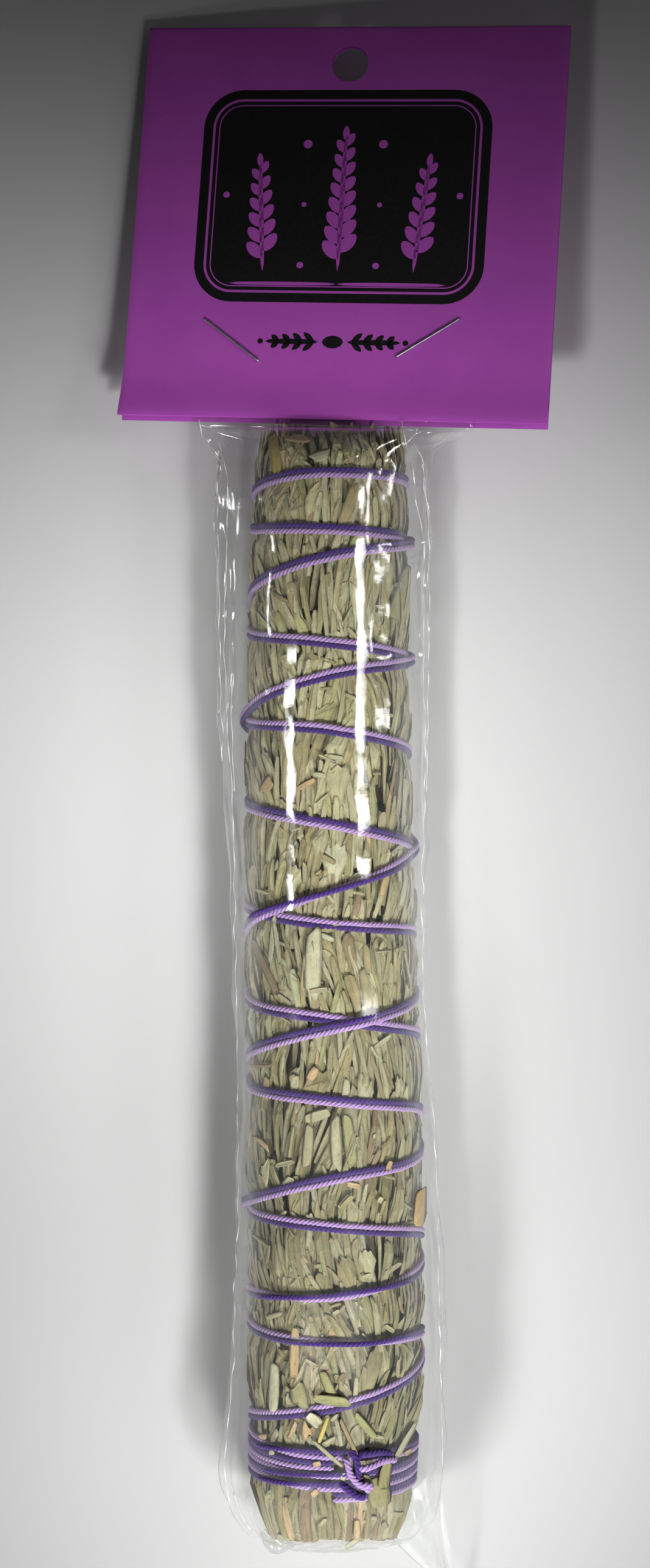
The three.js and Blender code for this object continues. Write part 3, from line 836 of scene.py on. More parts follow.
class Winding:
    """The route of the doubled thread, up the bundle and down again, with its band at the stem end."""

    BAND_START = (-121.3, -121.3, -120.4)
    RISING = (
        Pass((-119.5, -119.5, -119.3), (1, 0.1, 0)),
        Pass((-117.5, -117.6, -117.3), (1, 0.3, 0)),
        Pass((-110.5, -105.8, -100.3), LIGHT_LEADS),
        Pass((-88.9, -87, -83.5), (1, 0.25, 1)),
        Pass((-73.5, -67, -63.9)),
        Pass((-47.9, -41.5, -36.8)),
        Pass((-25.7, -18.3, -10.7), (0, 0.5, 1)),
        Pass((11.5, 18.6, 22.1), LIGHT_LEADS),
        Pass((33.2, 39, 42.6)),
        Pass((51.3, 53.4, 53.2)),
    )
    FALLING = (
        Pass((45, 43.6, 42.4)),
        Pass((26.9, 24.2, 21.7), LIGHT_LEADS),
        Pass((11.1, 9.3, 5.6), LIGHT_LEADS),
        Pass((-3.2, -6.8, -11.2)),
        Pass((-21.2, -23.9, -26.1), LIGHT_LEADS),
        Pass((-37.4, -40, -43.9), LIGHT_LEADS),
        Pass((-52.4, -53.9, -57.3)),
        Pass((-74, -75.3, -78.9), LIGHT_LEADS),
        Pass((-93.9, -94.9, -96), (1, 0.6, 0)),
        Pass((-113.5, -114.1, -115.2), (1, 0, 0)),
    )
    BAND_END = (-115.2, -115.5, -115.9)
    NO_PASS = 1e4
    STEPS_PER_TURN = 720
    BINS = 360

    def __init__(self) -> None:
        """Works out the route and the table of passes in each direction round the bundle."""
        rising = [*self.BAND_START, *self._quarters([one.places for one in self.RISING])]
        falling = [*self._quarters([one.places for one in self.FALLING]), *self.BAND_END]
        places = [*rising, (rising[-1] + falling[0]) / 2, *falling]
        rising_leads = [0, 0, 0, *self._quarters([one.leads for one in self.RISING])]
        falling_leads = [*self._quarters([one.leads for one in self.FALLING]), 0, 0, 0]
        leads = [*rising_leads, (rising_leads[-1] + falling_leads[0]) / 2, *falling_leads]
        self.last_turn = (len(places) - 1) / 4
        steps = int(round(self.last_turn * self.STEPS_PER_TURN))
        self.turns = np.linspace(0, self.last_turn, steps + 1)
        self.phi = math.pi / 2 - 2 * math.pi * self.turns
        self.y = curve_through(places, self.turns * 4)
        self.lead = curve_through(leads, self.turns * 4)
        self.rising = self.turns <= len(rising) / 4
        self.table = self._passes_by_direction(self.turns >= 0)
        self.falling_table = self._passes_by_direction(~self.rising)
        self.rising_table = self._passes_by_direction(self.rising)

    @staticmethod
    def _quarters(passes: Sequence[Sequence[float]]) -> list[float]:
        """Gives each quarter turn a value: three for a pass, and one behind it, midway to the next.

        Args:
            passes: The three values of each pass.

        Returns:
            The values in order.
        """
        values = list(passes[0])
        for before, here in zip(passes, passes[1:]):
            values += [(before[2] + here[0]) / 2, *here]
        return values

    def _passes_by_direction(self, chosen: Array) -> Array:
        """Lists where the chosen stretches cross each direction.

        Args:
            chosen: Which samples count.

        Returns:
            Places as [direction, pass], far away where there is no pass.
        """
        table = np.full((self.BINS, math.ceil(self.last_turn) + 1), self.NO_PASS)
        bins = self.direction_bin(self.phi)
        table[bins[chosen], np.floor(self.turns[chosen]).astype(int)] = self.y[chosen]
        return table

    def direction_bin(self, phi: Array) -> Array:
        """Returns the number of the direction that phi falls in."""
        share = (np.asarray(phi) / (2 * math.pi)) % 1
        return np.clip((share * self.BINS).astype(int), 0, self.BINS - 1)

    def nearest(self, phi: Array, y: Array, table: Array | None = None) -> Array:
        """Returns how far along Y the nearest pass is, out of all of them or those of the table."""
        rows = (self.table if table is None else table)[self.direction_bin(phi)]
        return np.min(np.abs(rows - np.asarray(y)[..., None]), axis=-1)


@dataclass
class Swell:
    """The height of the leaves over the envelope: pressed in at the threads and proud between them."""

    winding: Winding
    at_thread: float = -0.3
    between: float = 0.38
    lumps: Waves = field(default_factory=lambda: Waves(11, 7, 22, 12, 1.6))

    def __call__(self, phi: Array, y: Array) -> Array:
        """Returns the height at the given places.

        Args:
            phi: The direction round the bundle.
            y: The place along it.

        Returns:
            The height over the envelope.
        """
        far = smooth(self.winding.nearest(phi, y), 0.7, 3.6)
        lump = 0.22 * self.lumps(np.asarray(phi) * BundleShape.unroll, y)
        return self.at_thread + (self.between - self.at_thread) * far + lump * (0.3 + 0.7 * far)

    def held_down(self, phi: Array, y: Array, height: Array) -> Array:
        """Presses heights over the envelope down to where the thread holds them."""
        ceiling = -0.05 + 1.5 * smooth(self.winding.nearest(phi, y), 1.0, 3.4)
        return height - 0.94 * np.maximum(height - ceiling, 0)


class LeafForm(Enum):
    """The forms of leaf in the bundle."""

    LINEAR = "linear"
    SPOON = "spoon"
    TOOTHED = "toothed"
    TWIG = "twig"


@dataclass(frozen=True)
class BladeForm:
    """One form of leaf: how many there are, their least and greatest size, their outline and section."""

    count: int
    lengths: Pair
    widths: Pair
    rows: tuple[float, ...]
    half_widths: tuple[float, ...]
    top: tuple[float, ...]
    under: tuple[float, ...]
    thickness: float
    lobe: float = 0.0

    def ring(self) -> tuple[Array, Array]:
        """Returns the places round a section: across it, and 1 where they are on its underside."""
        return np.array(self.top + self.under), np.array([0] * len(self.top) + [1] * len(self.under))


BLADE_ROWS = (0, 0.3, 0.6, 0.84, 0.96, 1.0)
FIVE = (-1, -0.6, 0, 0.6, 1)
TEN = (-1, -0.83, -0.66, -0.33, -0.12, 0.12, 0.33, 0.66, 0.83, 1)
BLADES = {
    LeafForm.LINEAR: BladeForm(
        4900, (8, 17), (0.75, 1.4), BLADE_ROWS, (0.6, 0.9, 1, 0.94, 0.74, 0.3), FIVE, (0,), 0.3),
    LeafForm.SPOON: BladeForm(
        1300, (7, 13), (1.2, 2.5), BLADE_ROWS, (0.34, 0.6, 0.9, 1, 0.8, 0.34), FIVE, (0,), 0.28),
    LeafForm.TOOTHED: BladeForm(
        330, (7, 11), (2.6, 4.6), (0, 0.2, 0.45, 0.65, 0.8, 0.92, 1),
        (0.24, 0.36, 0.56, 0.78, 0.94, 1.02, 0.9), TEN, (0.5, 0, -0.5), 0.26, 0.17),
    LeafForm.TWIG: BladeForm(
        90, (8, 20), (0.6, 1), (0, 0.02, 0.3, 0.6, 0.98, 1),
        (0.7, 1, 0.95, 1, 0.9, 0.6), FIVE, (0.6, 0, -0.6), 1),
}


@dataclass
class LeafSet:
    """Many leaves of one form, each quantity an array with one number for each leaf."""

    form: LeafForm
    phi: Array
    y: Array
    length: Array
    width: Array
    tilt: Array
    curl: Array
    level: Array
    rise: Array
    cup: Array
    roll: Array
    arch: Array
    tint: Array

    def chosen(self, mask: Array) -> "LeafSet":
        """Returns the leaves that the mask picks."""
        parts = {name: value[mask] for name, value in vars(self).items() if name != "form"}
        return LeafSet(form=self.form, **parts)

    def surface(self, shape: BundleShape, swell: Swell) -> Surface:
        """Builds the blades.

        Args:
            shape: The bundle's envelope.
            swell: The height of the leaves over it.

        Returns:
            All the blades as one surface.
        """
        blade = BLADES[self.form]
        round_twig = self.form is LeafForm.TWIG
        u, under = (values[None, None, :] for values in blade.ring())
        s, outline = (np.array(values)[None, :, None] for values in (blade.rows, blade.half_widths))
        one = (slice(None), None, None)
        phi, y, width, length = (values[one] for values in (self.phi, self.y, self.width, self.length))
        tilt, curl = self.tilt[one], self.curl[one]
        notch = np.cos(3 * math.pi * u) * 0.5 - 0.5 - 0.35 * u * u
        lobes = blade.lobe * notch * np.maximum(s - 0.6, 0) / 0.4
        half = width / 2 * outline
        broken = 1.5 * np.sin(phi * 577.0 + y * 31.0)
        run = (s + lobes) * length + broken * u * half * smooth(s, 0.5, 0.95)
        lean = tilt + curl * (s - 0.4)
        across = run * np.sin(tilt) + curl * length * s * (s - 0.8) / 2 + u * half * np.cos(lean)
        along = run * np.cos(lean) - u * half * np.sin(lean)
        height = self.level[one] + self.rise[one] * smooth(s, 0, 0.9) + self.arch[one] * 4 * s * (1 - s)
        height = height + self.cup[one] * (u * u - 0.4) * half + self.roll[one] * u * half
        if round_twig:
            bulge = np.sqrt(np.clip(1 - u * u, 0, 1)) * (1 - 2 * under)
            height = height + width * blade.thickness / 2 * bulge
        else:
            belly = np.sqrt(np.clip(1 - (2 * s - 1) ** 4, 0.12, 1))
            height = height - 0.12 * np.exp(-((u / 0.22) ** 2)) * (1 - under) * half
            height = height - under * blade.thickness * belly * (1 - 0.5 * u * u)
        radius = shape.half_width(y)
        base = swell(phi - run * np.sin(lean) / radius, y + run * np.cos(lean))
        blade_phi, blade_y = phi - across / radius, y + along
        points = shape.point(blade_phi, blade_y, swell.held_down(blade_phi, blade_y, base + height))
        # Painted light: toward the stem end the crown is painted darker and the flanks lighter, to even out
        # the lamps' shading, and near the tips the leaves are painted brighter where less light reaches them.
        # The shade also varies at random from leaf to leaf and is darker toward the stem end.
        painted_flank_light = np.clip(0.4 * (1 - np.sin(phi)) - 0.12, -0.12, 0.16)
        shade = 1.0 + 0.12 * np.sin(phi * 911.0 + y * 57.0)
        shade = shade * (0.8 + 0.2 * smooth(y, -70, -35)) * (1 + 0.15 * smooth(y, 40, 54))
        return Surface.tubes(points, {
            "tint": self.tint[one],
            "sunk": np.clip(-(height - under * 0.3) / 1.7, 0, 1),
            "across": u * half,
            "along": run,
            "seed": phi * 3.7 + y * 0.31,
            # Painted shade along the blade's rims.
            "edge": np.abs(u) ** 6,
            "shade": shade * (1 + painted_flank_light * (1 - smooth(y, -35, -5))),
        })


@dataclass
class LeafyBundle:
    """The dried leaves of the outer sprigs, packed along the stick with their tips to the card."""

    shape: BundleShape
    swell: Swell
    sectors: int = 10
    first_root: float = -132.6
    last_root: float = 54.0
    end: float = 63.3
    cut_stems: int = 120
    golden_turn: float = 0.61803398875
    flow: Waves = field(default_factory=lambda: Waves(5, 12, 34, 9, 1.3))
    patches: Waves = field(default_factory=lambda: Waves(21, 10, 40, 8, 2.0))

    def _grown(self, form: LeafForm, rng: np.random.Generator) -> LeafSet:
        """Draws the leaves of one form.

        Args:
            form: The form.
            rng: The random source.

        Returns:
            The leaves.
        """
        blade = BLADES[form]
        round_twig = form is LeafForm.TWIG
        n = blade.count
        phi = (np.arange(n) * self.golden_turn % 1 + rng.uniform(-0.01, 0.01, n)) * 2 * math.pi
        y = self.first_root + (np.arange(n) + rng.uniform(0, 1, n)) / n * (self.last_root - self.first_root)
        y = rng.permutation(y)
        length = rng.uniform(*blade.lengths, n)
        length = np.minimum(length, np.maximum(self.end - 1.6 * rng.uniform(0, 1, n) ** 2 - y, 4))
        y = np.maximum(y, self.cut_end(phi) + rng.uniform(-0.4, 0.8, n))
        unrolled = phi * self.shape.unroll
        turned = 0.4 * self.flow(unrolled, y) + rng.normal(0, 0.13, n)
        tint = np.clip(0.42 + 0.16 * self.patches(unrolled, y) + rng.normal(0, 0.16, n), 0.1, 0.88)
        tint = np.where(rng.uniform(0, 1, n) < 0.02, rng.uniform(0, 0.1, n), tint)
        tint = np.where(rng.uniform(0, 1, n) < 0.012, 0.97, tint)
        level = -1.6 + 1.45 * rng.uniform(0, 1, n) ** 0.85
        if form is LeafForm.TOOTHED:
            tint = np.clip(tint, 0.2, 0.86)
        if round_twig:
            tint = np.where(rng.uniform(0, 1, n) < 0.1, 0.97, rng.uniform(0.0, 0.5, n))
            turned = turned * 0.7
            level = rng.uniform(-1.5, -0.5, n)
        return LeafSet(
            form=form, phi=phi, y=y, length=length,
            width=blade.widths[0] + (blade.widths[1] - blade.widths[0]) * rng.uniform(0, 1, n) ** 1.3,
            tilt=turned, curl=rng.normal(0, 0.16, n), level=level, rise=rng.uniform(0.25, 0.75, n),
            cup=rng.uniform(-0.25, 0.25, n) * (not round_twig),
            roll=rng.normal(0, 0.16, n) * (not round_twig),
            arch=rng.uniform(-0.15, 0.3, n), tint=tint,
        )

    def _cut_stems(self, rng: np.random.Generator) -> LeafSet:
        """Draws the leafless stems that all end in one straight cut at the stem end.

        Args:
            rng: The random source.

        Returns:
            The stems.
        """
        n = self.cut_stems
        stems = LeafSet(
            form=LeafForm.TWIG, phi=(np.arange(n) + rng.uniform(0, 0.8, n)) / n * 2 * math.pi,
            y=rng.uniform(-0.4, 0.4, n), length=rng.uniform(7, 17, n), width=rng.uniform(0.9, 1.9, n),
            tilt=rng.normal(0, 0.05, n), curl=rng.normal(0, 0.05, n), level=rng.uniform(-1.0, -0.1, n),
            rise=rng.uniform(-0.6, 0.1, n), cup=np.zeros(n), roll=np.zeros(n), arch=rng.uniform(0, 0.2, n),
            tint=rng.choice([0.02, 0.14, 0.3, 0.95, 0.6], n, p=[0.22, 0.26, 0.3, 0.04, 0.18]),
        )
        stems.y += self.cut_end(stems.phi)
        return stems

    @staticmethod
    def cut_end(phi: Array) -> Array:
        """Returns where the slanted cut of the stem end is in each direction round the bundle."""
        return -132.4 + 2.9 * np.clip(np.sin(phi), 0, 1)

    def build(self, material: Material) -> None:
        """Builds a piece for each outer sprig.

        Args:
            material: The leaf finish.
        """
        rng = np.random.default_rng(20)
        sets = [*(self._grown(form, rng) for form in LeafForm), self._cut_stems(rng)]
        for sector in range(self.sectors):
            parts = []
            for leaves in sets:
                at = np.round(leaves.phi / (2 * math.pi) * self.sectors).astype(int) % self.sectors
                parts.append(leaves.chosen(at == sector).surface(self.shape, self.swell))
            number = f"{sector + 1:02d}"
            Surface.joined(parts).piece(
                f"sage_leaves_{number}", material, "sage_leaf", [f"sage_sprig_{number}"], rounded=False)


@dataclass
class Heart:
    """The inner leaves, as one body painted dark as the shade between the outer leaves, and the cut stems in
    the middle of the bundle.

    A row of a stem has its place along it, its size and its tint.
    """

    shape: BundleShape
    swell: Swell
    stems: int = 70
    stem_rows: tuple[tuple[float, ...], ...] = (
        (0, 0.82, 1.0), (0.18, 1.0, 0.6), (6.0, 1.0, 0.5), (12.0, 0.9, 0.4))
    golden_angle: float = 2.39996
    depth: float = 1.9

    def _core(self) -> Surface:
        """Builds the body that shows in the crevices between leaves, painted dark as the shade there.

        Returns:
            The body.
        """
        phi, y = once_round(72)[None, :], np.linspace(-128.6, 60.6, 220)[:, None]
        unrolled = phi * self.shape.unroll
        rough = Waves(31, 1.6, 5.0, 14, 3.0)
        height = self.swell(phi, y) - self.depth + 0.35 * rough(unrolled, y)
        rings = self.shape.point(phi, y, height)[None]
        # Its tint sits near the dark end of the ramp: painted shade.
        return Surface.tubes(rings, {"tint": 0.1, "across": unrolled, "along": y})

    def _stems(self) -> Surface:
        """Builds the cut stem ends that stand at the stem end of the bundle.

        Returns:
            The stems.
        """
        rng = np.random.default_rng(8)
        turn = once_round(8)
        along, size, tint = np.array(self.stem_rows).T[:, :, None]
        middle = np.array([self.shape.middle_x(-131.0), 0, self.shape.middle_z(-131.0)])
        rings = []
        for i in range(self.stems):
            reach = math.sqrt((i + 0.5) / self.stems) * 0.9
            phi = i * self.golden_angle
            radius = rng.uniform(0.45, 1.05)
            start = float(LeafyBundle.cut_end(phi)) * reach - 131.6 * (1 - reach) - rng.uniform(0, 0.6)
            centre = middle + (self.shape.point(phi, -131.0, 0.0) - middle) * reach
            sway = rng.normal(0, 0.03, 2)
            x = centre[0] + sway[0] * along + np.cos(turn) * radius * size
            z = centre[2] + sway[1] * along + np.sin(turn) * radius * size
            rings.append(np.stack([x, start + along + 0 * x, z], axis=-1))
        rings = np.array(rings)
        return Surface.tubes(rings, {"tint": tint, "across": turn, "along": rings[..., 1]})

    def build(self, material: Material) -> None:
        """Builds the piece that stands for the heart's four sprigs."""
        nodes = [f"heart_sprig_{i}" for i in range(1, 5)]
        Surface.joined([self._core(), self._stems()]).piece("heart_and_stems", material, "sage_heart", nodes)


@dataclass(frozen=True)
class Crumb:
    """A loose bit that lies on the bundle, by its place in the view from above.

    x and y place its middle, turn is its direction from +X in degrees, and rise lifts it.
    """

    x: float
    y: float
    length: float
    width: float
    turn: float
    tint: float
    rise: float = 0.9


@dataclass
class LooseBits:
    """Broken leaf and chaff that lies over the leaves and threads, crosswise as it fell."""

    shape: BundleShape
    swell: Swell
    scattered: int = 170
    TINTS = (0.05, 0.3, 0.45, 0.6, 0.8, 0.97)
    SHARES = (0.1, 0.2, 0.25, 0.2, 0.17, 0.08)
    NOTABLE = tuple(Crumb(*bit) for bit in (
        (-8.5, 57.4, 7.8, 1.9, 96, 1, 0.5), (-4.4, 60.1, 3.1, 2.3, 170, 0.96, 0.7),
        (3.1, 61.3, 2, 1.3, 10, 0.96, 0.7), (3.6, 55.3, 1, 0.9, 40, 0.98, 0.7),
        (3.6, 57.9, 2.3, 1.7, 90, 0.6, 0.7), (-0.7, 56.3, 3, 2.2, 20, 0.84, 0.7),
        (13.2, 33.4, 10, 2.6, 71, 0.72, 0.5), (-9.8, -0.2, 2.6, 2, 60, 0.97, 0.8),
        (10.2, -17.2, 3.8, 1.4, 75, 0.98, 0.8), (-10.3, -31.6, 10, 1.3, 116, 0.05, 0.45),
        (-2, -30.4, 11.3, 3.2, 88, 0.84, 0.5), (-8.9, -26.7, 8, 1, 84, 0.84, 0.6),
        (-8, -27.3, 7, 0.9, 98, 0.8, 0.6), (0.8, -24.6, 3, 1.2, 20, 0.6, 0.9),
        (0.3, -26, 2.6, 1, 155, 0.84, 0.9), (-2, -49.2, 2.3, 1.7, 60, 0.97, 0.8),
        (-10.5, -53.4, 6, 1.3, 83, 0.95, 0.6), (-1.3, -56.3, 4.2, 1.9, 18, 0.4, 0.6),
        (1.9, -61, 8.8, 2.1, 92, 0.34, 0.5), (4.2, -60.6, 8.6, 2.1, 97, 0.7, 0.5),
        (-2.9, -61.5, 7, 1.8, 85, 0.3, 0.6), (-9.9, -66.5, 3.2, 1.7, 84, 0.42, 0.7),
        (-6.5, -68.2, 2.4, 1.8, 60, 0.8, 0.7), (16, -73.4, 6.3, 2.4, 85, 0.98, 1.2),
        (5.2, -40.7, 2, 1.1, 10, 0.97, 1.3), (10.7, -65.2, 1.6, 1, 70, 0.97, 1.2),
        (-5.2, -97, 8.6, 1.7, 88, 0.98, 0.6), (8.9, -120.9, 5.4, 4, 96, 0.6, 1.7),
        (9.6, -118.1, 4.4, 2, 80, 0.62, 2), (7, -119, 3.2, 1.4, 104, 0.6, 2),
        (-8.7, -103.4, 8.4, 1.9, 88, 0.84, 0.7), (-4.3, -104.2, 3.9, 3, 100, 0.66, 0.7),
        (1.3, -104.4, 5.4, 1.9, 172, 0.72, 1.7), (-1.6, -107.9, 2.6, 2, 140, 0.84, 1.5),
        (0.6, -102, 5.2, 1.8, 112, 0.66, 0.8), (0.4, -113.7, 6.5, 0.85, 139, 0.3, 1.3),
        (-2.9, -110, 2.6, 1.7, 90, 0.97, 0.9), (-0.2, -109.6, 4.7, 0.8, 71, 1, 1),
        (3.9, -110.9, 7, 0.8, 113, 0.05, 1), (6.6, -109.1, 5.4, 1.4, 126, 0.72, 0.8),
        (13.4, -113.1, 5.7, 1.2, 55, 0.84, 1.3), (-10.4, -112.5, 1.4, 1, 30, 0.97, 1.3),
        (-9, -114.7, 1.2, 1, 70, 0.84, 1.3), (-1.3, -115.5, 1.3, 1, 20, 0.97, 1.4),
        (-1.7, -120.5, 1.4, 1.2, 50, 0.95, 1.4), (3, -117.6, 1.2, 0.9, 80, 0.84, 1.5),
        (13.9, -115.4, 1.2, 1, 10, 0.97, 1.3), (5.4, -127.4, 3.5, 1.2, 90, 0.98, 0.7),
    ))

    def _flakes(self, crumbs: Sequence[Crumb]) -> Surface:
        """Builds flat, slightly bent flakes with slanted ends.

        Args:
            crumbs: The bits.

        Returns:
            The flakes as one surface.
        """
        rng = np.random.default_rng(77)
        rows = np.array([-0.5, -0.42, -0.15, 0.2, 0.44, 0.5])[:, None]
        widths = np.array([0.5, 0.85, 1.0, 0.95, 0.8, 0.5])[:, None]
        u = np.array([-1, -0.5, 0, 0.5, 1, 0.4, -0.4])
        under = np.array([0, 0, 0, 0, 0, 1, 1])
        rings, sides, runs = [], [], []
        for crumb in crumbs:
            turn = math.radians(crumb.turn)
            run = rows * crumb.length + rng.normal(0, 0.35) * u * crumb.width * 0.5 * (rows * 2) ** 3
            side = -u * widths * crumb.width / 2
            bend = rng.normal(0, 0.12)
            x = crumb.x + run * math.cos(turn) - side * math.sin(turn)
            y = crumb.y + run * math.sin(turn) + side * math.cos(turn)
            share = np.clip((x - self.shape.middle_x(y)) / (self.shape.half_width(y) + 0.6), -0.995, 0.995)
            lift = self.swell(math.acos(np.clip(float(np.mean(share)), -0.99, 0.99)), crumb.y) + crumb.rise
            lift = lift + bend * (run / crumb.length) ** 2 * 4 - under * 0.12 + 0.1 * u**2 * rng.normal(0, 1)
            rings.append(self.shape.point(np.arccos(share), y, lift))
            sides.append(side)
            runs.append(run)
        tints, seeds = (np.array(values)[:, None, None] for values in (
            [crumb.tint for crumb in crumbs], [crumb.x * 1.3 + crumb.y for crumb in crumbs]))
        return Surface.tubes(np.array(rings), {
            "tint": tints, "sunk": 0.0, "across": np.array(sides), "along": np.array(runs),
            # The edge value paints shade along each flake's rims.
            "seed": seeds, "edge": np.abs(u) ** 4 * 0.7, "shade": 0.88,
        })

    def _scattered(self) -> list[Crumb]:
        """Draws the small bits, thicker toward the stem end.

        Returns:
            The bits.
        """
        rng = np.random.default_rng(41)
        bits = []
        for _ in range(self.scattered):
            y = max(58 - 190 * rng.uniform(0, 1) ** 0.72, -130.0)
            bits.append(Crumb(
                x=float(self.shape.middle_x(y) + rng.uniform(-13, 13)), y=y,
                length=rng.uniform(0.7, 3.4), width=rng.uniform(0.4, 1.1), turn=rng.uniform(0, 180),
                tint=float(rng.choice(self.TINTS, p=self.SHARES)),
                rise=rng.uniform(0.15, 0.6),
            ))
        return bits

    def build(self, material: Material) -> None:
        """Builds the piece."""
        self._flakes([*self.NOTABLE, *self._scattered()]).piece("loose_leaf_bits", material, "sage_leaf")


class Strand(Enum):
    """The two strands of the doubled thread, and the side of the pair that each starts on."""

    DARK = 1
    LIGHT = -1

    def wander(self) -> Waves:
        """Returns how the strand strays from its even course."""
        return Waves(61 if self is Strand.DARK else 62, 4, 30, 8)


@dataclass
class DoubledThread:
    """Two strands of plied cotton wound side by side round the bundle.

    The knot's lines are places across and along the bundle, and heights over its envelope.
    """

    KNOT: ClassVar[Mapping[Strand, Sequence[Sequence[tuple[float, float, float]]]]] = {
        Strand.DARK: (
            ((4.3, -112.9, 0.4), (4.6, -113.8, 1.5), (5, -115.2, 1.9), (5.1, -117.3, 1.9),
             (4.6, -118.8, 1.2)),
            ((5.4, -114.6, 1.3), (6, -113.8, 1.7), (7.8, -113.8, 1.6), (9.6, -114.3, 1.2),
             (10.9, -114.9, 0.8)),
            ((2.4, -118.7, 0.9), (3.3, -119.5, 1.5), (4.5, -120.6, 1.8), (5.9, -121.2, 1.5),
             (6.6, -120.9, 0.8)),
        ),
        Strand.LIGHT: (
            ((3.3, -114.2, 1), (3.5, -115.2, 2), (3.9, -116.9, 2.2), (4.9, -118.5, 2.4), (6.2, -119.4, 2.4),
             (6.8, -120.4, 1.6)),
            ((5, -119, 1.8), (5.9, -118.9, 2.5), (6.9, -119.3, 2.2), (6.9, -120.1, 1.6)),
            ((5.2, -116.2, 1.9), (6, -116, 2.6), (7.2, -115.7, 2.4), (9, -115.3, 1.9), (11.4, -115.9, 1.1)),
        ),
    }
    shape: BundleShape
    winding: Winding
    radius: float = 0.5
    offset: float = 0.48
    height: float = 0.32
    crossing_lift: float = 0.95
    crossing_reach: float = 1.9
    band_top: float = -112.5
    plies: int = 3
    pitch: float = 2.5
    step: float = 0.38

    def _pair_height(self) -> Array:
        """Lifts the middle of the pair over the crossings.

        Returns:
            Its height along the route.
        """
        w = self.winding
        over = w.nearest(w.phi, w.y, w.falling_table)
        under = w.nearest(w.phi, w.y, w.rising_table)
        lift = self.crossing_lift * np.exp(-((over / self.crossing_reach) ** 2))
        press = -0.12 * np.exp(-((under / self.crossing_reach) ** 2))
        return self.height + np.where(w.y < self.band_top, 0.12, np.where(w.rising, lift, press))

    def _route(self, strand: Strand) -> Array:
        """Returns the strand's middle line, as evenly spaced points.

        Args:
            strand: Which strand.

        Returns:
            The points.
        """
        w = self.winding
        middle = self.shape.point(w.phi, w.y, self._pair_height())
        outward = unit(self.shape.point(w.phi, w.y, 1.0) - self.shape.point(w.phi, w.y, 0.0))
        toward_tips = unit(np.cross(outward, unit(np.gradient(middle, axis=0))))
        toward_tips = toward_tips * np.sign(toward_tips[:, 1:2] + 1e-9)
        turn = math.pi * w.lead
        aside = strand.value * np.cos(turn) * self.offset + 0.05 * strand.wander()(w.turns * 90, 0.0)
        lift = strand.value * np.sin(turn) * self.offset * 0.8 + np.abs(np.sin(turn)) * 0.25
        return self._even(middle + toward_tips * aside[:, None] + outward * lift[:, None])

    def _even(self, points: Array) -> Array:
        """Returns the same line with even steps.

        Args:
            points: The line.

        Returns:
            Its new points.
        """
        run = run_along(points)
        places = np.linspace(0, run[-1], int(run[-1] / self.step))
        return np.stack([np.interp(places, run, points[:, i]) for i in range(3)], axis=-1)

    def tube(self, points: Array, outward: Array, radius: float) -> Surface:
        """Skins a plied strand along a line, with mesh lines that run along its plies.

        Args:
            points: Its middle line.
            outward: A direction away from the bundle at each point.
            radius: Its radius.

        Returns:
            The strand's surface.
        """
        across, up = cross_axes(points, outward)
        run = run_along(points)[:, None]
        ply_turn = 2 * math.pi / self.plies
        shares = [k + share for k in range(self.plies) for share in (-0.17, 0.17, 0.5)]
        lattice = np.array([share * ply_turn for share in shares])
        ply = np.array([1.0, 1.0, 0.0] * self.plies)
        turn = lattice - 2 * math.pi * run / self.pitch
        taper = np.minimum(1, np.minimum(run + 0.25, run[-1] - run + 0.25))
        size = radius * (0.68 + 0.36 * ply) * np.sqrt(np.clip(taper, 0.2, 1))
        rings = points[:, None] + across[:, None] * (np.cos(turn) * size)[..., None]
        rings = rings + up[:, None] * (np.sin(turn) * size)[..., None]
        return Surface.tubes(rings[None], {"ply": ply, "along": run, "around": lattice})

    def _outward(self, points: Array) -> Array:
        """Returns the direction away from the bundle's middle line at each point."""
        y = points[:, 1]
        return unit(points - np.stack([self.shape.middle_x(y), y, self.shape.middle_z(y)], axis=-1))

    def _knot(self, strand: Strand) -> list[Surface]:
        """Builds the strand's turns of the knot over the band and its cut ends.

        Args:
            strand: Which strand.

        Returns:
            The short lengths of thread.
        """
        made = []
        for line in self.KNOT[strand]:
            x, y, lift = np.array(line).T
            share = np.clip((x - self.shape.middle_x(y)) / self.shape.half_width(y), -0.99, 0.99)
            rough = self.shape.point(np.arccos(share), y, lift + 0.1)
            t = np.linspace(0, len(line) - 1, 60)
            path = self._even(np.stack([curve_through(rough[:, i], t) for i in range(3)], axis=-1))
            made.append(self.tube(path, self._outward(path) + [0.01, 0.02, 0.0], self.radius * 1.2))
        return made

    def build(self, strand: Strand, material: Material) -> None:
        """Builds one strand.

        Args:
            strand: Which strand.
            material: Its finish.
        """
        tone = strand.name.lower()
        path = self._route(strand)
        parts = [self.tube(path, self._outward(path), self.radius), *self._knot(strand)]
        Surface.joined(parts).piece(f"thread_{tone}_cotton", material, f"cotton_{tone}", [f"thread_{tone}"])


@dataclass(frozen=True)
class FilmStation:
    """A section of the bag: its middle, directions, half sizes, side wings and stiffness."""

    centre: Array
    across: Array
    up: Array
    half_width: float
    half_height: float
    left_wing: float
    right_wing: float
    boxy: float = 1.0


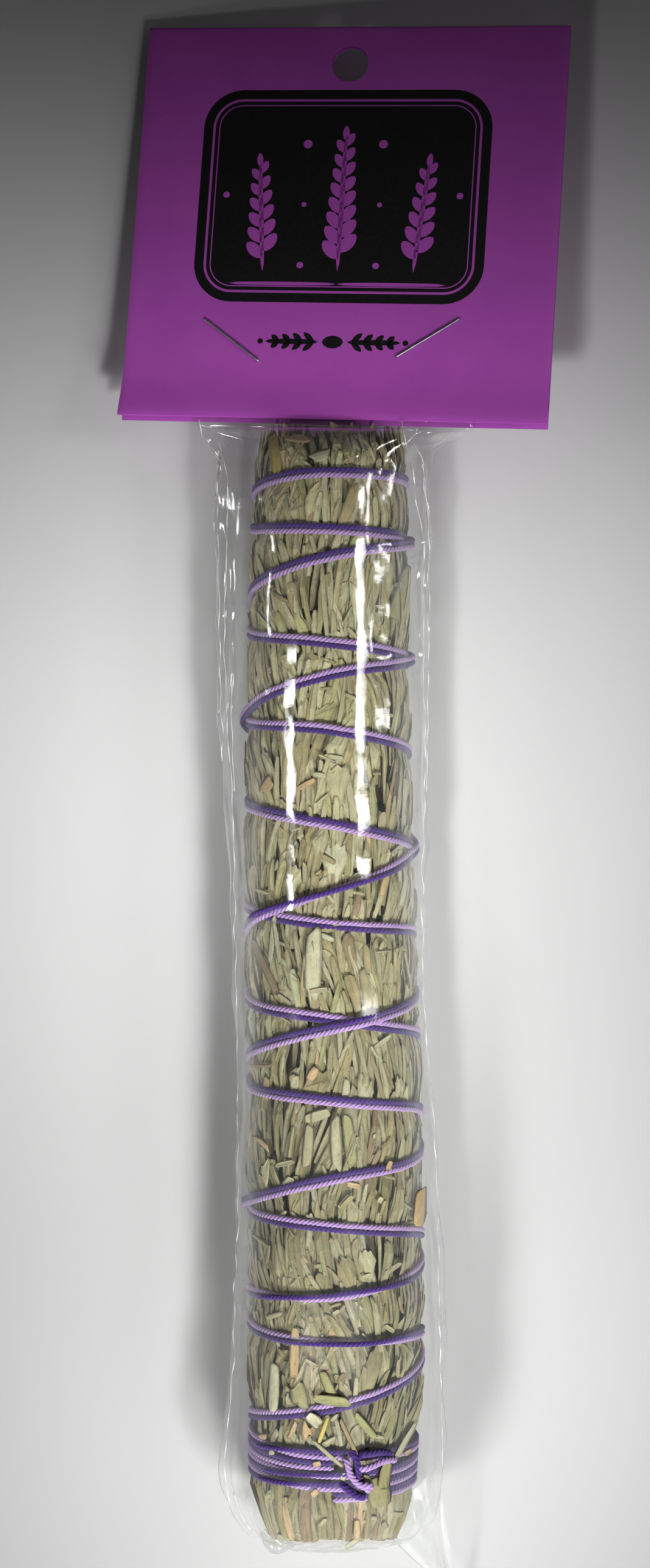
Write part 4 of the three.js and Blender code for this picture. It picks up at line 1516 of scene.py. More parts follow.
class ClearBag:
    """The cellophane bag: tight over the threads, creased to a wing at each side and flat in the card.

    A pleat has its distance from the side, height, width, start and end along Y. A wing has its Y and
    how far it stands out at the left and the right. A crease is a line of places, Y and then X.
    """

    ROWS_PER_MM = 1.25
    SIDES = 208
    FLAT_HALF_WIDTH = 24.4
    CLOSED_END = -133.0
    MOUTH = 26.0
    TIGHT = 1.15
    OFF_FLOOR = 0.03
    END_SECTIONS = (
        (CLOSED_END, 10.8, 5.6, 1, 1.5), (-132.5, 12.4, 9.2, 1.6, 2.4), (-131.2, 13.3, 11.6, 2.4, 3.2),
        (-128.2, 14.2, 13.7, 3.4, 4.4),
    )
    NECK_SECTIONS = (
        (55.6, 14.6, 12.4, 5.6, 2.7, 0.2), (58.4, 16.6, 9.8, 4.4, 1.2, 0.5), (61, 19.6, 6.6, 3, 1.6, 0.8),
    )
    FLAT_SECTIONS = ((-1, 1, 1.4), (4, 0.55, 0.75), (9.5, 0.05, 0.3), (MOUTH, 0, 0.25))
    LEFT_PLEATS = ((0.5, 0.36, 0.4, -70, 56), (2.9, 0.24, 0.6, -20, 50), (3.6, 0.3, 0.5, -128, -95))
    RIGHT_PLEATS = (
        (0.4, 0.36, 0.4, -20, 60), (2.6, 0.42, 0.6, -5, 62), (4.6, 0.3, 0.5, -128, -70),
        (1.5, 0.3, 0.5, -130, -90),
    )
    WINGS = (
        (-122.5, 4.4, 4.4), (-112, 3.6, 4.2), (-97, 2.3, 3.4), (-80, 1.35, 2.7), (-58, 1.3, 1.8),
        (-34, 1.75, 0.8), (-12, 2.4, 1.7), (19, 4.55, 3.05), (49, 5.8, 3.2),
    )
    CREASES = (
        ((63.2, 25.43), (61.1, 22.12), (59.1, 19.13), (57.5, 16.88)),
        ((63.5, 13.14), (60.9, 13.57), (58, 14.32), (56.1, 15.17)),
        ((61.6, 16.03), (59.1, 15.71), (57.3, 16.78), (53.2, 17.42), (48.9, 18.17), (43.2, 18.38)),
        ((63.6, 11.97), (62.8, 16.67), (63.2, 25.43)),
        ((64.5, -22.44), (61.8, -21.8), (59.1, -20.2), (55.9, -17.95)),
        ((62.7, -19.62), (54.2, -17.06), (39.7, -17.27), (32.7, -17.59), (24.2, -17.8), (16.7, -17.38),
         (9.4, -17.16), (-0.2, -16.31), (-11.9, -15.99), (-26.9, -15.78), (-37.5, -15.57), (-59.9, -15.35),
         (-77, -15.25), (-86.6, -15.89), (-93, -15.99), (-101.5, -15.99), (-106.6, -16.53),
         (-115.1, -17.27), (-119.2, -17.7), (-123.1, -17.38), (-128.4, -16.31)),
        ((20, -16.53), (16.7, -16.31), (11.5, -16.42), (4.1, -16.1), (-1.3, -15.89)),
        ((56.3, -18.87), (49.9, -18.98), (41.4, -18.87), (30.7, -18.66), (16.7, -18.44), (4.1, -17.91)),
        ((56.7, 15.35), (49.9, 15.78), (46.5, 16.74), (42, 17.48), (16.7, 17.27), (9.4, 17.7),
         (-1.3, 17.59), (-11.9, 17.16), (-16.2, 17.06), (-37.5, 17.16), (-56.4, 18.87), (-71.6, 19.83),
         (-90.8, 19.94), (-112.2, 20.58), (-122.8, 20.68)),
        ((56, 16.95), (49.9, 18.02), (43.1, 18.34), (22.5, 18.23), (11.5, 18.12), (-1.3, 17.91)),
        ((-122.8, -16.31), (-127.1, -15.14), (-130.8, -13.01)),
    )

    def __init__(self, shape: BundleShape, winding: Winding, card: CardPose) -> None:
        """Draws the bag's tube round the bundle and into the card.

        Args:
            shape: The bundle's envelope.
            winding: The thread's route.
            card: The card's place.
        """
        self.shape = shape
        self.winding = winding
        self.card = card
        self.long_folds = Waves(71, 5, 11, 7, 7.0)
        self.crumple = Waves(72, 5, 14, 9, 1.7)
        self.fine = Waves(73, 2.2, 5, 9, 2.2)
        self.grid = self._tube()

    def _stations(self) -> list[FilmStation]:
        """Lists the bag's sections from its closed end to its mouth.

        Returns:
            The sections.
        """
        wide, tall = self.shape.half_width, self.shape.half_height
        tight = [(y, float(wide(y)) + self.TIGHT, float(tall(y)) + self.TIGHT, left, right)
                 for y, left, right in self.WINGS]
        round_ones = [self._round_section(*row) for row in (*self.END_SECTIONS, *tight, *self.NECK_SECTIONS)]
        return [*round_ones, *(self._flat_section(*row) for row in self.FLAT_SECTIONS)]

    def _round_section(self, y: float, wide: float, tall: float, left: float, right: float,
                       turn: float = 0.0) -> FilmStation:
        """Returns a section round the bundle, turned part of the way to the card's pose.

        Args:
            y: Its place.
            wide: Half its width.
            tall: Half its height.
            left: How far its left wing stands out.
            right: How far its right wing stands out.
            turn: The share of the card's pose.

        Returns:
            The section.
        """
        centre = np.array([float(self.shape.middle_x(y)), y, float(self.shape.middle_z(y))])
        across = unit(np.array([1.0, 0, 0]) * (1 - turn) + self.card.axis(0) * turn)
        up = unit(np.array([0, 0, 1.0]) * (1 - turn) + self.card.axis(2) * turn)
        return FilmStation(centre, across, up, wide, tall, left, right)

    def _flat_section(self, up: float, out: float, tall: float) -> FilmStation:
        """Returns a flat section between the card's panels."""
        axes = (self.card.axis(0), self.card.axis(2))
        return FilmStation(self.card.point(0.15, up, out), *axes, self.FLAT_HALF_WIDTH, tall, 0, 0, 0.6)

    def _ring(self, station: FilmStation) -> Array:
        """Returns one section of the bag, its points closer together toward the wings.

        Args:
            station: The section.

        Returns:
            The points.
        """
        even = once_round(self.SIDES)
        phi = even - 0.3 * np.sin(2 * even)
        cos, sin = np.cos(phi), np.sin(phi)
        wing = np.where(cos > 0, station.right_wing, station.left_wing)
        slope = np.arccos(1 / (1 + wing / station.half_width))
        hull = 1 / np.cos(np.maximum(slope - np.arcsin(np.clip(np.abs(sin), 0, 1)), 0))
        wide = station.half_width * hull * cos
        tall = station.half_height * hull * np.sign(sin) * np.abs(sin) ** station.boxy
        return station.centre + wide[:, None] * station.across + tall[:, None] * station.up

    def _ridges(self, along_stick: Array) -> Array:
        """Returns the height of the narrow pleats that run down the bag's sides.

        Args:
            along_stick: 1 where the bag is round the bundle.

        Returns:
            The heights.
        """
        grid = self.grid
        half = self.SIDES // 2
        y = grid[..., 1]
        steps = np.linalg.norm(grid - np.roll(grid, 1, axis=1), axis=-1)
        steps[:, :half + 1] = 0
        from_left = np.cumsum(steps, axis=1)
        from_right = from_left[:, -1:] + np.linalg.norm(grid[:, :1] - grid[:, -1:], axis=-1) - from_left
        height = np.zeros(y.shape)
        sway = Waves(74, 18, 60, 6)
        sides = ((self.LEFT_PLEATS, from_left), (self.RIGHT_PLEATS, from_right))
        for i, (pleats, distance) in enumerate(sides):
            for k, (place, size, width, start, end) in enumerate(pleats):
                centre = place + 0.5 * sway(y, 31.0 * k + 7 * i)
                shape = np.exp(-(((distance - centre) / width) ** 2))
                strength = smooth(y, start - 5, start + 5) * (1 - smooth(y, end - 5, end + 5))
                height += size * shape * strength * (0.65 + 0.35 * sway(y * 2.3, 17.0 * k + 3))
        return height * (np.arange(self.SIDES) >= half) * along_stick

    def _tube(self) -> Array:
        """Builds the bag's tube before it creases.

        Returns:
            Its points as [row, direction, axis].
        """
        stations = self._stations()
        run = run_along(np.array([station.centre for station in stations]))
        rings = np.array([self._ring(station) for station in stations])
        rows = np.linspace(0, run[-1], int(run[-1] * self.ROWS_PER_MM))
        columns = [self._smooth_through(run, column, rows) for column in rings.reshape(len(run), -1).T]
        return np.stack(columns, axis=-1).reshape(len(rows), self.SIDES, 3)

    def _shell(self) -> Surface:
        """Builds the bag's tube with its ripples and pleats, and keeps its upper face for the creases.

        Returns:
            The tube.
        """
        grid = self.grid
        y = grid[..., 1]
        x = grid[..., 0] - self.shape.middle_x(y)
        z = grid[..., 2] - self.shape.middle_z(y)
        around = np.arctan2(z, x)
        arc = around * 15
        along_stick = smooth(y, -131, -126) * (1 - smooth(y, 52, 59))
        in_card = smooth(y, 61.5, 64.5)
        loose_end = 1 - smooth(y, -127, -117)
        free = 1 - smooth(np.sin(around), 0.0, 0.5) * along_stick
        outward = unit(np.stack([np.cos(around), 0 * y, np.sin(around)], axis=-1))
        card_way = np.sign(z)[..., None] * self.card.axis(2)
        outward = unit(outward * (1 - in_card[..., None]) + card_way * in_card[..., None])
        ridges = self._ridges(along_stick)
        fold = self.long_folds.creased(arc, y)
        crush = self.crumple.creased(arc, y)
        ripple = (0.05 + 0.25 * free) * fold + (0.045 + 0.34 * loose_end + 0.2 * free) * crush
        ripple = ripple + (0.028 + 0.16 * loose_end + 0.03 * free) * self.fine.creased(arc, y)
        height = self._over_threads(around, y) * along_stick + ridges + self._fan() * (1 - in_card)
        moved = grid + outward * (height + ripple * (1 - 0.95 * in_card))[..., None]
        moved[..., 2] = np.maximum(moved[..., 2], self.OFF_FLOOR)
        self.grid = moved
        folded = np.clip(ridges * 0.5, 0, 0.3) + np.clip(np.abs(fold) - 0.9, 0, 1) * free * 0.15
        wing = smooth(np.abs(x) - self.shape.half_width(y), 0.8, 2.6) * along_stick * (1 - smooth(y, 20, 50))
        folded = folded + 0.05 * loose_end + wing * np.clip(0.16 + 0.1 * crush, 0.04, 0.4)
        rubbed = 1 - 0.55 * smooth(y, -104, -88) - 0.45 * smooth(y, -48, -22)
        return Surface.tubes(moved[None], self._finish_values(folded, dull=rubbed), closed=False)

    def _over_threads(self, around: Array, y: Array) -> Array:
        """Returns how far the film is lifted by the threads and their crossings, and sags between.

        Args:
            around: The direction round the bundle.
            y: The place along it.

        Returns:
            The height, which is below 0 where it sags.
        """
        w = self.winding
        near = w.nearest(around, y)
        crossing = np.exp(-((w.nearest(around, y, w.rising_table) / 2.6) ** 2))
        crossing = crossing * np.exp(-((w.nearest(around, y, w.falling_table) / 2.6) ** 2))
        return 0.06 * np.exp(-((near / 3.0) ** 2)) + 0.25 * crossing - 0.05 * smooth(near, 2.0, 6.0)

    def _fan(self) -> Array:
        """Makes the creases that fan out to the bag's corners at the card.

        Returns:
            Their height at each point of the tube.
        """
        y = self.grid[..., 1]
        height = np.zeros(y.shape)
        for x, start, turns, size in ((15.2, 50.5, 3.4, 0.8), (-14.5, 47.0, 2.6, 0.55)):
            side = math.copysign(1.0, x)
            across = (self.grid[..., 0] - x) * side
            angle = np.arctan2(y - start, across)
            pleat = np.abs((angle * turns / math.pi) % 1 - 0.5) * 4 - 1
            height += size * pleat * smooth(y, start + 2, start + 9) * smooth(across, -4, 0)
        return height

    @staticmethod
    def _finish_values(fold: Number, shade: Number = 0.0, dull: Number = 0.0) -> dict[str, Number]:
        """Returns what the film's finish reads: how milky it is, how dark the milk is painted with shade, and
        how rubbed it is.
        """
        return {"fold": fold, "shade": shade, "dull": dull}

    def _on_film(self, x: Array, y: Array) -> Array:
        """Returns the height of the film's upper face.

        Args:
            x: Places across the stick.
            y: Places along it.

        Returns:
            The height at each place.
        """
        upper = self.grid[:, self.SIDES // 2:]
        heights = []
        for here_x, here_y in zip(x, y):
            row = upper[np.argmin(np.abs(upper[:, 0, 1] - here_y))]
            order = np.argsort(row[:, 0])
            heights.append(np.interp(here_x, row[order, 0], row[order, 2]))
        return np.array(heights)

    def _crease(self, route: Sequence[Pair], seed: float) -> Surface:
        """Builds a fine crinkled crease line that lies on the film, painted fully milky white as a glint
        along the crease.

        Args:
            route: Places along it, as Y and X.
            seed: Picks its crinkles.

        Returns:
            The line.
        """
        along, across = np.array(sorted(route)).T
        y = np.linspace(along[0], along[-1], int((along[-1] - along[0]) / 0.35) + 2)
        wander = Waves(78, 2, 9, 8)
        middle = np.interp(y, along, across) + 0.13 * wander(y, 40 * seed)
        half = 0.1 * np.clip(0.45 + 0.6 * wander(y * 1.7, 40 * seed + 9), 0.12, 1)
        side = np.array([-1.0, 0.0, 1.0])
        x = middle[:, None] + side * half[:, None]
        z = self._on_film(middle, y)[:, None] + 0.05 + 0.05 * (1 - np.abs(side))
        # Fully milky: the line is a painted glint.
        return Surface.sheet(np.stack([x, y[:, None] + 0 * x, z], axis=-1), self._finish_values(1.6))

    @staticmethod
    def _smooth_through(known: Array, values: Array, where: Array) -> Array:
        """Runs a monotone curve through values at uneven places.

        Args:
            known: The places.
            values: The values there.
            where: The places to read.

        Returns:
            The curve there.
        """
        gaps = np.diff(known)
        slopes = np.diff(values) / gaps
        before, after = slopes[:-1], slopes[1:]
        inner = np.where(before * after > 0, 2 * before * after / (before + after + 1e-12), 0)
        tangent = np.concatenate([slopes[:1], inner, slopes[-1:]])
        i = np.clip(np.searchsorted(known, where, side="right") - 1, 0, len(known) - 2)
        t = (where - known[i]) / gaps[i]
        return eased(t, values[i], values[i + 1], tangent[i] * gaps[i], tangent[i + 1] * gaps[i])

    def _closed_end(self) -> Surface:
        """Builds the folded end of the bag, drawn tight over the cut stems.

        Returns:
            The end.
        """
        station = self._stations()[0]
        rim = self._ring(station)
        share = np.linspace(1, 0.02, 16)[:, None]
        grid = station.centre + (rim - station.centre) * share[..., None]
        crumple = Waves(75, 2.5, 7, 8).creased(grid[..., 0], grid[..., 2])
        grid[..., 1] = self.CLOSED_END + 0.3 * (1 - share) + 0.2 * crumple * (1 - share**4)
        grid[..., 2] = np.maximum(grid[..., 2], self.OFF_FLOOR)
        return Surface.tubes(grid[None], self._finish_values(0.12, dull=1.0), closed=False)

    def _flap(self) -> Surface:
        """Builds the loose corner that sticks out past the closed end on the right.

        Returns:
            The corner.
        """
        t = np.linspace(0, 1, 34)[:, None]
        s = np.linspace(-1, 1, 26)[None, :]
        inner, outer = np.array([9.5, -132.0, 12.0]), np.array([19.6, -121.0, 13.4])
        tip_inner, tip_outer = np.array([22.2, -146.2, 4.6]), np.array([24.3, -147.0, 4.2])
        share = (s[..., None] + 1) / 2
        root = inner * (1 - share) + outer * share
        tip = tip_inner * (1 - share) + tip_outer * share
        grid = root * (1 - t[..., None]) + tip * t[..., None]
        waves = Waves(76, 3, 8, 7, 2.5)
        bent = 0.9 * waves.creased(s * 6, t * 16) + 1.8 * np.cos(s * 2.2) * (1 - t)
        grid[..., 2] += bent * np.sin(np.clip(t * 2.6, 0, 1) * math.pi / 2)
        # Along the flap's edge the milk is thick and painted dark: painted shade.
        edge = np.clip(1 - (s + 1) * 12, 0, 1)
        fold = 0.3 + 0.12 * waves.creased(s * 5, t * 9) + 0.5 * edge
        return Surface.sheet(grid, self._finish_values(fold, shade=edge, dull=0.6))

    def _tuck(self) -> Surface:
        """Builds the small rolled tuck at the left of the closed end.

        Returns:
            The tuck.
        """
        t = np.linspace(0, 1, 26)
        path = np.stack([
            -11.2 + 5.6 * t, -133.4 - 2.6 * np.sin(t * math.pi * 0.72), 9.5 + 1.2 * np.sin(t * math.pi),
        ], axis=-1)
        turn = once_round(22)
        size = 1.3 * np.sin(np.clip(t * 1.15 + 0.1, 0, 1) * math.pi * 0.9)[:, None] + 0.25
        forward = unit(np.gradient(path, axis=0))
        side = unit(np.cross(forward, [0, 0, 1.0]))
        up = np.cross(side, forward)
        crumple = Waves(77, 1.5, 4, 8).creased(turn[None, :] * 2, t[:, None] * 8)
        rings = path[:, None] + side[:, None] * (np.cos(turn) * size + 0.12 * crumple)[..., None]
        rings = rings + up[:, None] * (np.sin(turn) * size * 0.7)[..., None]
        # The tuck's milk is a little darkened with painted shade.
        return Surface.tubes(rings[None], self._finish_values(0.3, shade=0.25), closed=False)

    def build(self, material: Material) -> None:
        """Builds the bag.

        Args:
            material: The film's finish.
        """
        sheets = [self._shell(), self._closed_end(), self._flap(), self._tuck()]
        creases = [self._crease(route, seed) for seed, route in enumerate(self.CREASES)]
        Surface.joined([*sheets, *creases]).piece("cellophane_bag", material, "clear_film", ["clear_bag"])


@dataclass(frozen=True)
class HeaderCard:
    """The folded card over the bag's mouth, with its hang hole."""

    pose: CardPose
    width: float = 76.2
    height: float = 72.5
    stock: float = 0.35
    half_gap: float = 0.45
    back_extra: float = 0.1
    front_bulge: float = 2.45
    hole: Pair = (-0.84, 65.4)
    hole_radius: float = 3.3
    hole_block: float = 4.8
    hole_cells: int = 14
    cells_beside: int = 21
    cells_below: int = 43

    def point(self, across: Array, up: Array, side: int, out: float = 0.0) -> Array:
        """Returns points on or over the outer face of the front, where side is 1, or the back, -1."""
        bulge = (self.front_bulge if side > 0 else 0.0) * np.exp(-((np.maximum(up + 2, 0) / 7.0) ** 2))
        return self.pose.point(across, up, side * (self.half_gap + bulge + self.stock + out))

    def _lines(self, side: int) -> tuple[Array, Array]:
        """Spaces the lines of a panel's mesh, close together at the hole.

        Args:
            side: 1 for the front, -1 for the back.

        Returns:
            The lines' places across the panel, and up it.
        """
        (left, right), (bottom, top) = ((at - self.hole_block, at + self.hole_block) for at in self.hole)
        low = -self.back_extra if side < 0 else 0.0
        fold = self.height - self.half_gap - self.stock
        across = (np.linspace(-self.width / 2, left, self.cells_beside + 1)[:-1],
                  np.linspace(left, right, self.hole_cells + 1),
                  np.linspace(right, self.width / 2, self.cells_beside + 1)[1:])
        upward = (np.linspace(low, bottom, self.cells_below + 1)[:-1],
                  np.linspace(bottom, top, self.hole_cells + 1), np.linspace(top, fold, 3)[1:])
        return np.concatenate(across), np.concatenate(upward)

    def _panel(self, side: int) -> Surface:
        """Builds one panel's outer face with the punched hole.

        Args:
            side: 1 for the front, -1 for the back.

        Returns:
            The face.
        """
        flat = np.stack(np.meshgrid(*self._lines(side)), axis=-1)
        index = np.arange(flat[..., 0].size).reshape(flat.shape[:2])
        quads = Surface.cells(index)
        first_up, first_across, cells = self.cells_below, self.cells_beside, self.hole_cells
        kept = np.ones(quads.shape[:2], bool)
        kept[first_up:first_up + cells, first_across:first_across + cells] = False
        block = index[first_up:first_up + cells + 1, first_across:first_across + cells + 1]
        rim = np.concatenate([block[0, :-1], block[:-1, -1], block[-1, :0:-1], block[:0:-1, 0]])
        points = [flat.reshape(-1, 2)]
        square = points[0][rim]
        circle = self.hole + unit(square - self.hole) * self.hole_radius
        loops = [rim]
        for share in (0.5, 0.08, 0.0):
            loops.append(np.arange(len(rim)) + sum(len(part) for part in points))
            points.append(circle + (square - circle) * share)
        collar = [
            np.stack([outer, np.roll(outer, -1), np.roll(inner, -1), inner], axis=-1)
            for outer, inner in zip(loops, loops[1:])
        ]
        flat = np.concatenate(points)
        faces = np.concatenate([quads[kept], *collar])[:, ::side]
        return Surface(self.point(flat[:, 0], flat[:, 1], side), faces, np.zeros((0, 3), int))

    def _fold(self) -> Surface:
        """Builds the rounded fold along the card's top edge.

        Returns:
            The fold.
        """
        radius = self.half_gap + self.stock
        turn = np.linspace(math.pi / 2, -math.pi / 2, 11)[:, None]
        up = self.height - radius + radius * np.cos(turn)
        return Surface.sheet(self.pose.point(self._lines(1)[0], up, radius * np.sin(turn)))

    def build(self, stock: Material) -> None:
        """Builds the card."""
        skin = Surface.joined([self._panel(1), self._fold(), self._panel(-1)])
        self._thicken(skin.piece("purple_header_card", stock, "purple_card", ["header_card"]))

    def _thicken(self, card: bpy.types.Object) -> None:
        """Joins the panels into one sheet and gives it the stock's thickness and soft edges.

        Args:
            card: The panels and the fold, as one object.
        """
        weld = card.modifiers.new("weld", "WELD")
        weld.merge_threshold = 0.00002
        solid = card.modifiers.new("stock", "SOLIDIFY")
        solid.thickness = self.stock * METRES_PER_MM
        solid.offset = -1.0
        bevel = card.modifiers.new("edge", "BEVEL")
        bevel.width = 0.00007
        bevel.segments = 2
        bevel.angle_limit = math.radians(50)
        evaluated = card.evaluated_get(bpy.context.evaluated_depsgraph_get())
        mesh = bpy.data.meshes.new_from_object(evaluated)
        mesh.set_sharp_from_angle(angle=math.radians(40))
        card.modifiers.clear()
        card.data = mesh


@dataclass
class CardPrint:
    """The generic print on the card's front: a black panel with leafy sprigs left bare, and a border."""

    card: HeaderCard
    PANEL_MIDDLE = (-0.6, 41.0)
    PANEL_SIZE = (52.0, 39.0)
    PANEL_CORNER = 7.0
    INSET = 1.7
    LINE = 0.45
    TONER_HEIGHT = 0.025
    BARE_HEIGHT = 0.045
    DOTS = ((6.8, 1.2, 0.6), (6.8, 23.4, 0.8), (21, 14, 0.6), (6.8, 12.3, 0.45))
    BORDER_UP = 14.4

    def _patch(self, across: Array, up: Array, height: float) -> Surface:
        """Lays a patch, given as [row, column], on the card's front face at a height over it."""
        return Surface.sheet(self.card.point(across, up, 1, height))

    def _lens(self, root: Pair, angle: float, length: float, half_width: float,
              height: float, power: float = 0.8) -> Surface:
        """Lays a leaf, or a round dot where the power is a half.

        Args:
            root: Where its root is, across and up.
            angle: Its direction from straight up, in degrees, to the right.
            length: Its length.
            half_width: Half its greatest width.
            height: How far it stands off the face.
            power: How full its outline is.

        Returns:
            The leaf.
        """
        t = np.linspace(0, 1, 15)[:, None]
        u = np.linspace(-1, 1, 5)[None, :]
        wide = half_width * (4 * t * (1 - t)) ** power * u
        turn = math.radians(angle)
        across = root[0] + t * length * math.sin(turn) + wide * math.cos(turn)
        up = root[1] + t * length * math.cos(turn) - wide * math.sin(turn)
        return self._patch(across, up, height)

    def _dot(self, middle: Pair, radius: float, height: float) -> Surface:
        """Lays a round dot."""
        return self._lens((middle[0], middle[1] - radius), 0, 2 * radius, radius, height, 0.5)

    def _rounded_loop(self, inset: float, count: int = 24) -> Array:
        """Draws the outline of the panel, moved in.

        Args:
            inset: How far in it is.
            count: How many points a corner has.

        Returns:
            The points, as [point, across or up].
        """
        half = np.array(self.PANEL_SIZE) / 2 - inset
        corner = self.PANEL_CORNER - inset
        turn = np.linspace(0, math.pi / 2, count)
        arc = np.stack([np.cos(turn), np.sin(turn)], axis=-1) * corner
        quarters = []
        for i, sides in enumerate(((1, 1), (-1, 1), (-1, -1), (1, -1))):
            quarter = (half - corner + arc) * sides
            quarters.append(quarter if i % 2 == 0 else quarter[::-1])
        return np.concatenate(quarters) + self.PANEL_MIDDLE

    def _panel(self) -> Surface:
        """Builds the black panel.

        Returns:
            The panel.
        """
        half_wide, half_tall = (side / 2 for side in self.PANEL_SIZE)
        straight = half_tall - self.PANEL_CORNER
        upper = straight + self.PANEL_CORNER * np.sin(np.linspace(0, math.pi / 2, 12))
        v = np.concatenate([-upper[::-1], np.linspace(-straight, straight, 18)[1:-1], upper])[:, None]
        beyond = np.maximum(np.abs(v) - straight, 0)
        reach = half_wide - self.PANEL_CORNER + np.sqrt(np.maximum(self.PANEL_CORNER**2 - beyond**2, 0))
        across = self.PANEL_MIDDLE[0] + np.linspace(-1, 1, 25) * reach
        return self._patch(across, self.PANEL_MIDDLE[1] + v + 0 * across, self.TONER_HEIGHT)

    def _outline(self, inset: float, width: float) -> Surface:
        """Builds a thin bare line round the inside of the panel.

        Args:
            inset: How far in from the panel's edge it is.
            width: Its width.

        Returns:
            The line.
        """
        loops = (self._rounded_loop(inset), self._rounded_loop(inset + width))
        rows = np.stack([np.concatenate([loop, loop[:1]]) for loop in loops])
        return self._patch(rows[..., 0], rows[..., 1], self.BARE_HEIGHT)

    def _sprig(self, root: Pair, lean: float, length: float, pairs: int,
               leaf: float) -> list[Surface]:
        """Builds a bare sprig: a stem with pairs of leaves that get smaller to its tip.

        Args:
            root: Where its stem starts, across and up.
            lean: The stem's direction from straight up, in degrees, to the right.
            length: The stem's length.
            pairs: How many pairs of leaves it bears.
            leaf: The length of its lowest leaves.

        Returns:
            Its parts.
        """
        turn = math.radians(lean)
        way = np.array([math.sin(turn), math.cos(turn)])
        height = self.BARE_HEIGHT
        parts = [self._lens(root, lean, length, 0.42, height, 0.3)]
        for share in (np.arange(pairs) + 1.1) / (pairs + 1):
            size = leaf * (1 - 0.45 * share)
            for side in (-1, 1):
                at = np.array(root) + way * (length * share + 0.6 * side)
                parts.append(self._lens(at, lean + side * (44 - 12 * share), size, size * 0.27, height, 0.65))
        tip = np.array(root) + way * length * 0.96
        return [*parts, self._lens(tip, lean, leaf * 0.62, leaf * 0.13, height)]

    def _bare_shapes(self) -> list[Surface]:
        """Builds what is left bare in the black panel: three upright sprigs and dots in a double line.

        Returns:
            Their parts.
        """
        x, y = self.PANEL_MIDDLE
        low = y - self.PANEL_SIZE[1] / 2 + 5.6
        parts = [self._outline(self.INSET, self.LINE), self._outline(self.INSET + 1.1, 0.2)]
        parts += self._sprig((x, low), 0, 25.0, 8, 4.6)
        for side in (-1, 1):
            parts += self._sprig((x + side * 13.5, low), side * 5, 20.0, 6, 4.3)
            parts += [self._dot((x + side * across, low + up), radius, self.BARE_HEIGHT)
                      for across, up, radius in self.DOTS]
            parts.append(self._lens((x, low - 2.2), side * 90, 19.5, 0.32, self.BARE_HEIGHT, 0.25))
        return parts

    def _lower_border(self) -> list[Surface]:
        """Builds the black ornament under the panel, between the staples.

        Returns:
            Its parts.
        """
        x, up, height = self.PANEL_MIDDLE[0], self.BORDER_UP, self.TONER_HEIGHT
        parts = [self._lens((x - 1.9, up), 90, 3.8, 1.15, height, 0.6)]
        for side in (-1, 1):
            parts.append(self._lens((x + side * 2.6, up), side * 90, 9.5, 0.5, height, 0.35))
            for k, tilt in ((k, tilt) for k in range(4) for tilt in (-42, 42)):
                root = (x + side * (3.4 + 2.1 * k), up)
                parts.append(self._lens(root, side * 90 + tilt, 2.5 - 0.25 * k, 0.5, height))
            parts.append(self._dot((x + side * 13.0, up), 0.5, height))
        return parts

    def build(self, toner: Material, stock: Material) -> None:
        """Builds the printed piece and the piece for what the print leaves bare."""
        Surface.joined([self._panel(), *self._lower_border()]).piece("card_print", toner, "purple_card")
        Surface.joined(self._bare_shapes()).piece("card_print_sprigs", stock, "purple_card")


@dataclass(frozen=True)
class Staple:
    """A wire staple through the card: a crown over the front, two legs, and tips clinched at the back."""

    pose: CardPose
    start: Pair
    end: Pair
    wire: float = 0.25
    crown_out: float = 1.16
    clinch_out: float = -1.1
    clinch: float = 4.2
    bend: float = 0.35
    sides: int = 12

    def _line(self) -> Array:
        """Draws the wire's middle line with rounded bends.

        Returns:
            Its points in the card's frame.
        """
        start, end = np.array([*self.start, 0.0]), np.array([*self.end, 0.0])
        reach = unit(end - start) * self.clinch
        out = np.array([0, 0, 1.0])
        corners = [
            start + reach + out * (self.clinch_out + 0.2), start + out * self.clinch_out,
            start + out * self.crown_out, end + out * self.crown_out,
            end + out * self.clinch_out, end - reach + out * (self.clinch_out + 0.2),
        ]
        points = [corners[0]]
        for before, corner, after in zip(corners, corners[1:], corners[2:]):
            first = corner + unit(before - corner) * self.bend
            last = corner + unit(after - corner) * self.bend
            for t in np.linspace(0, 1, 7):
                points.append((1 - t) ** 2 * first + 2 * t * (1 - t) * corner + t * t * last)
        return np.array([*points, corners[-1]])

    def build(self, name: str, material: Material) -> None:
        """Builds the staple.

        Args:
            name: The CAD node that it stands for.
            material: Its finish.
        """
        line = self._line()
        square = np.array([self.end[1] - self.start[1], self.start[0] - self.end[0], 0.0])
        across, side = cross_axes(line, square)
        turn = once_round(self.sides)[None, :, None]
        rings = line[:, None] + (across[:, None] * np.cos(turn) + side[:, None] * np.sin(turn)) * self.wire
        placed = self.pose.point(rings[..., 0], rings[..., 1], rings[..., 2])[None]
        values = {"along": run_along(line)[:, None], "around": turn[..., 0]}
        Surface.tubes(placed, values).piece(f"{name}_wire", material, "staple_wire", [name])


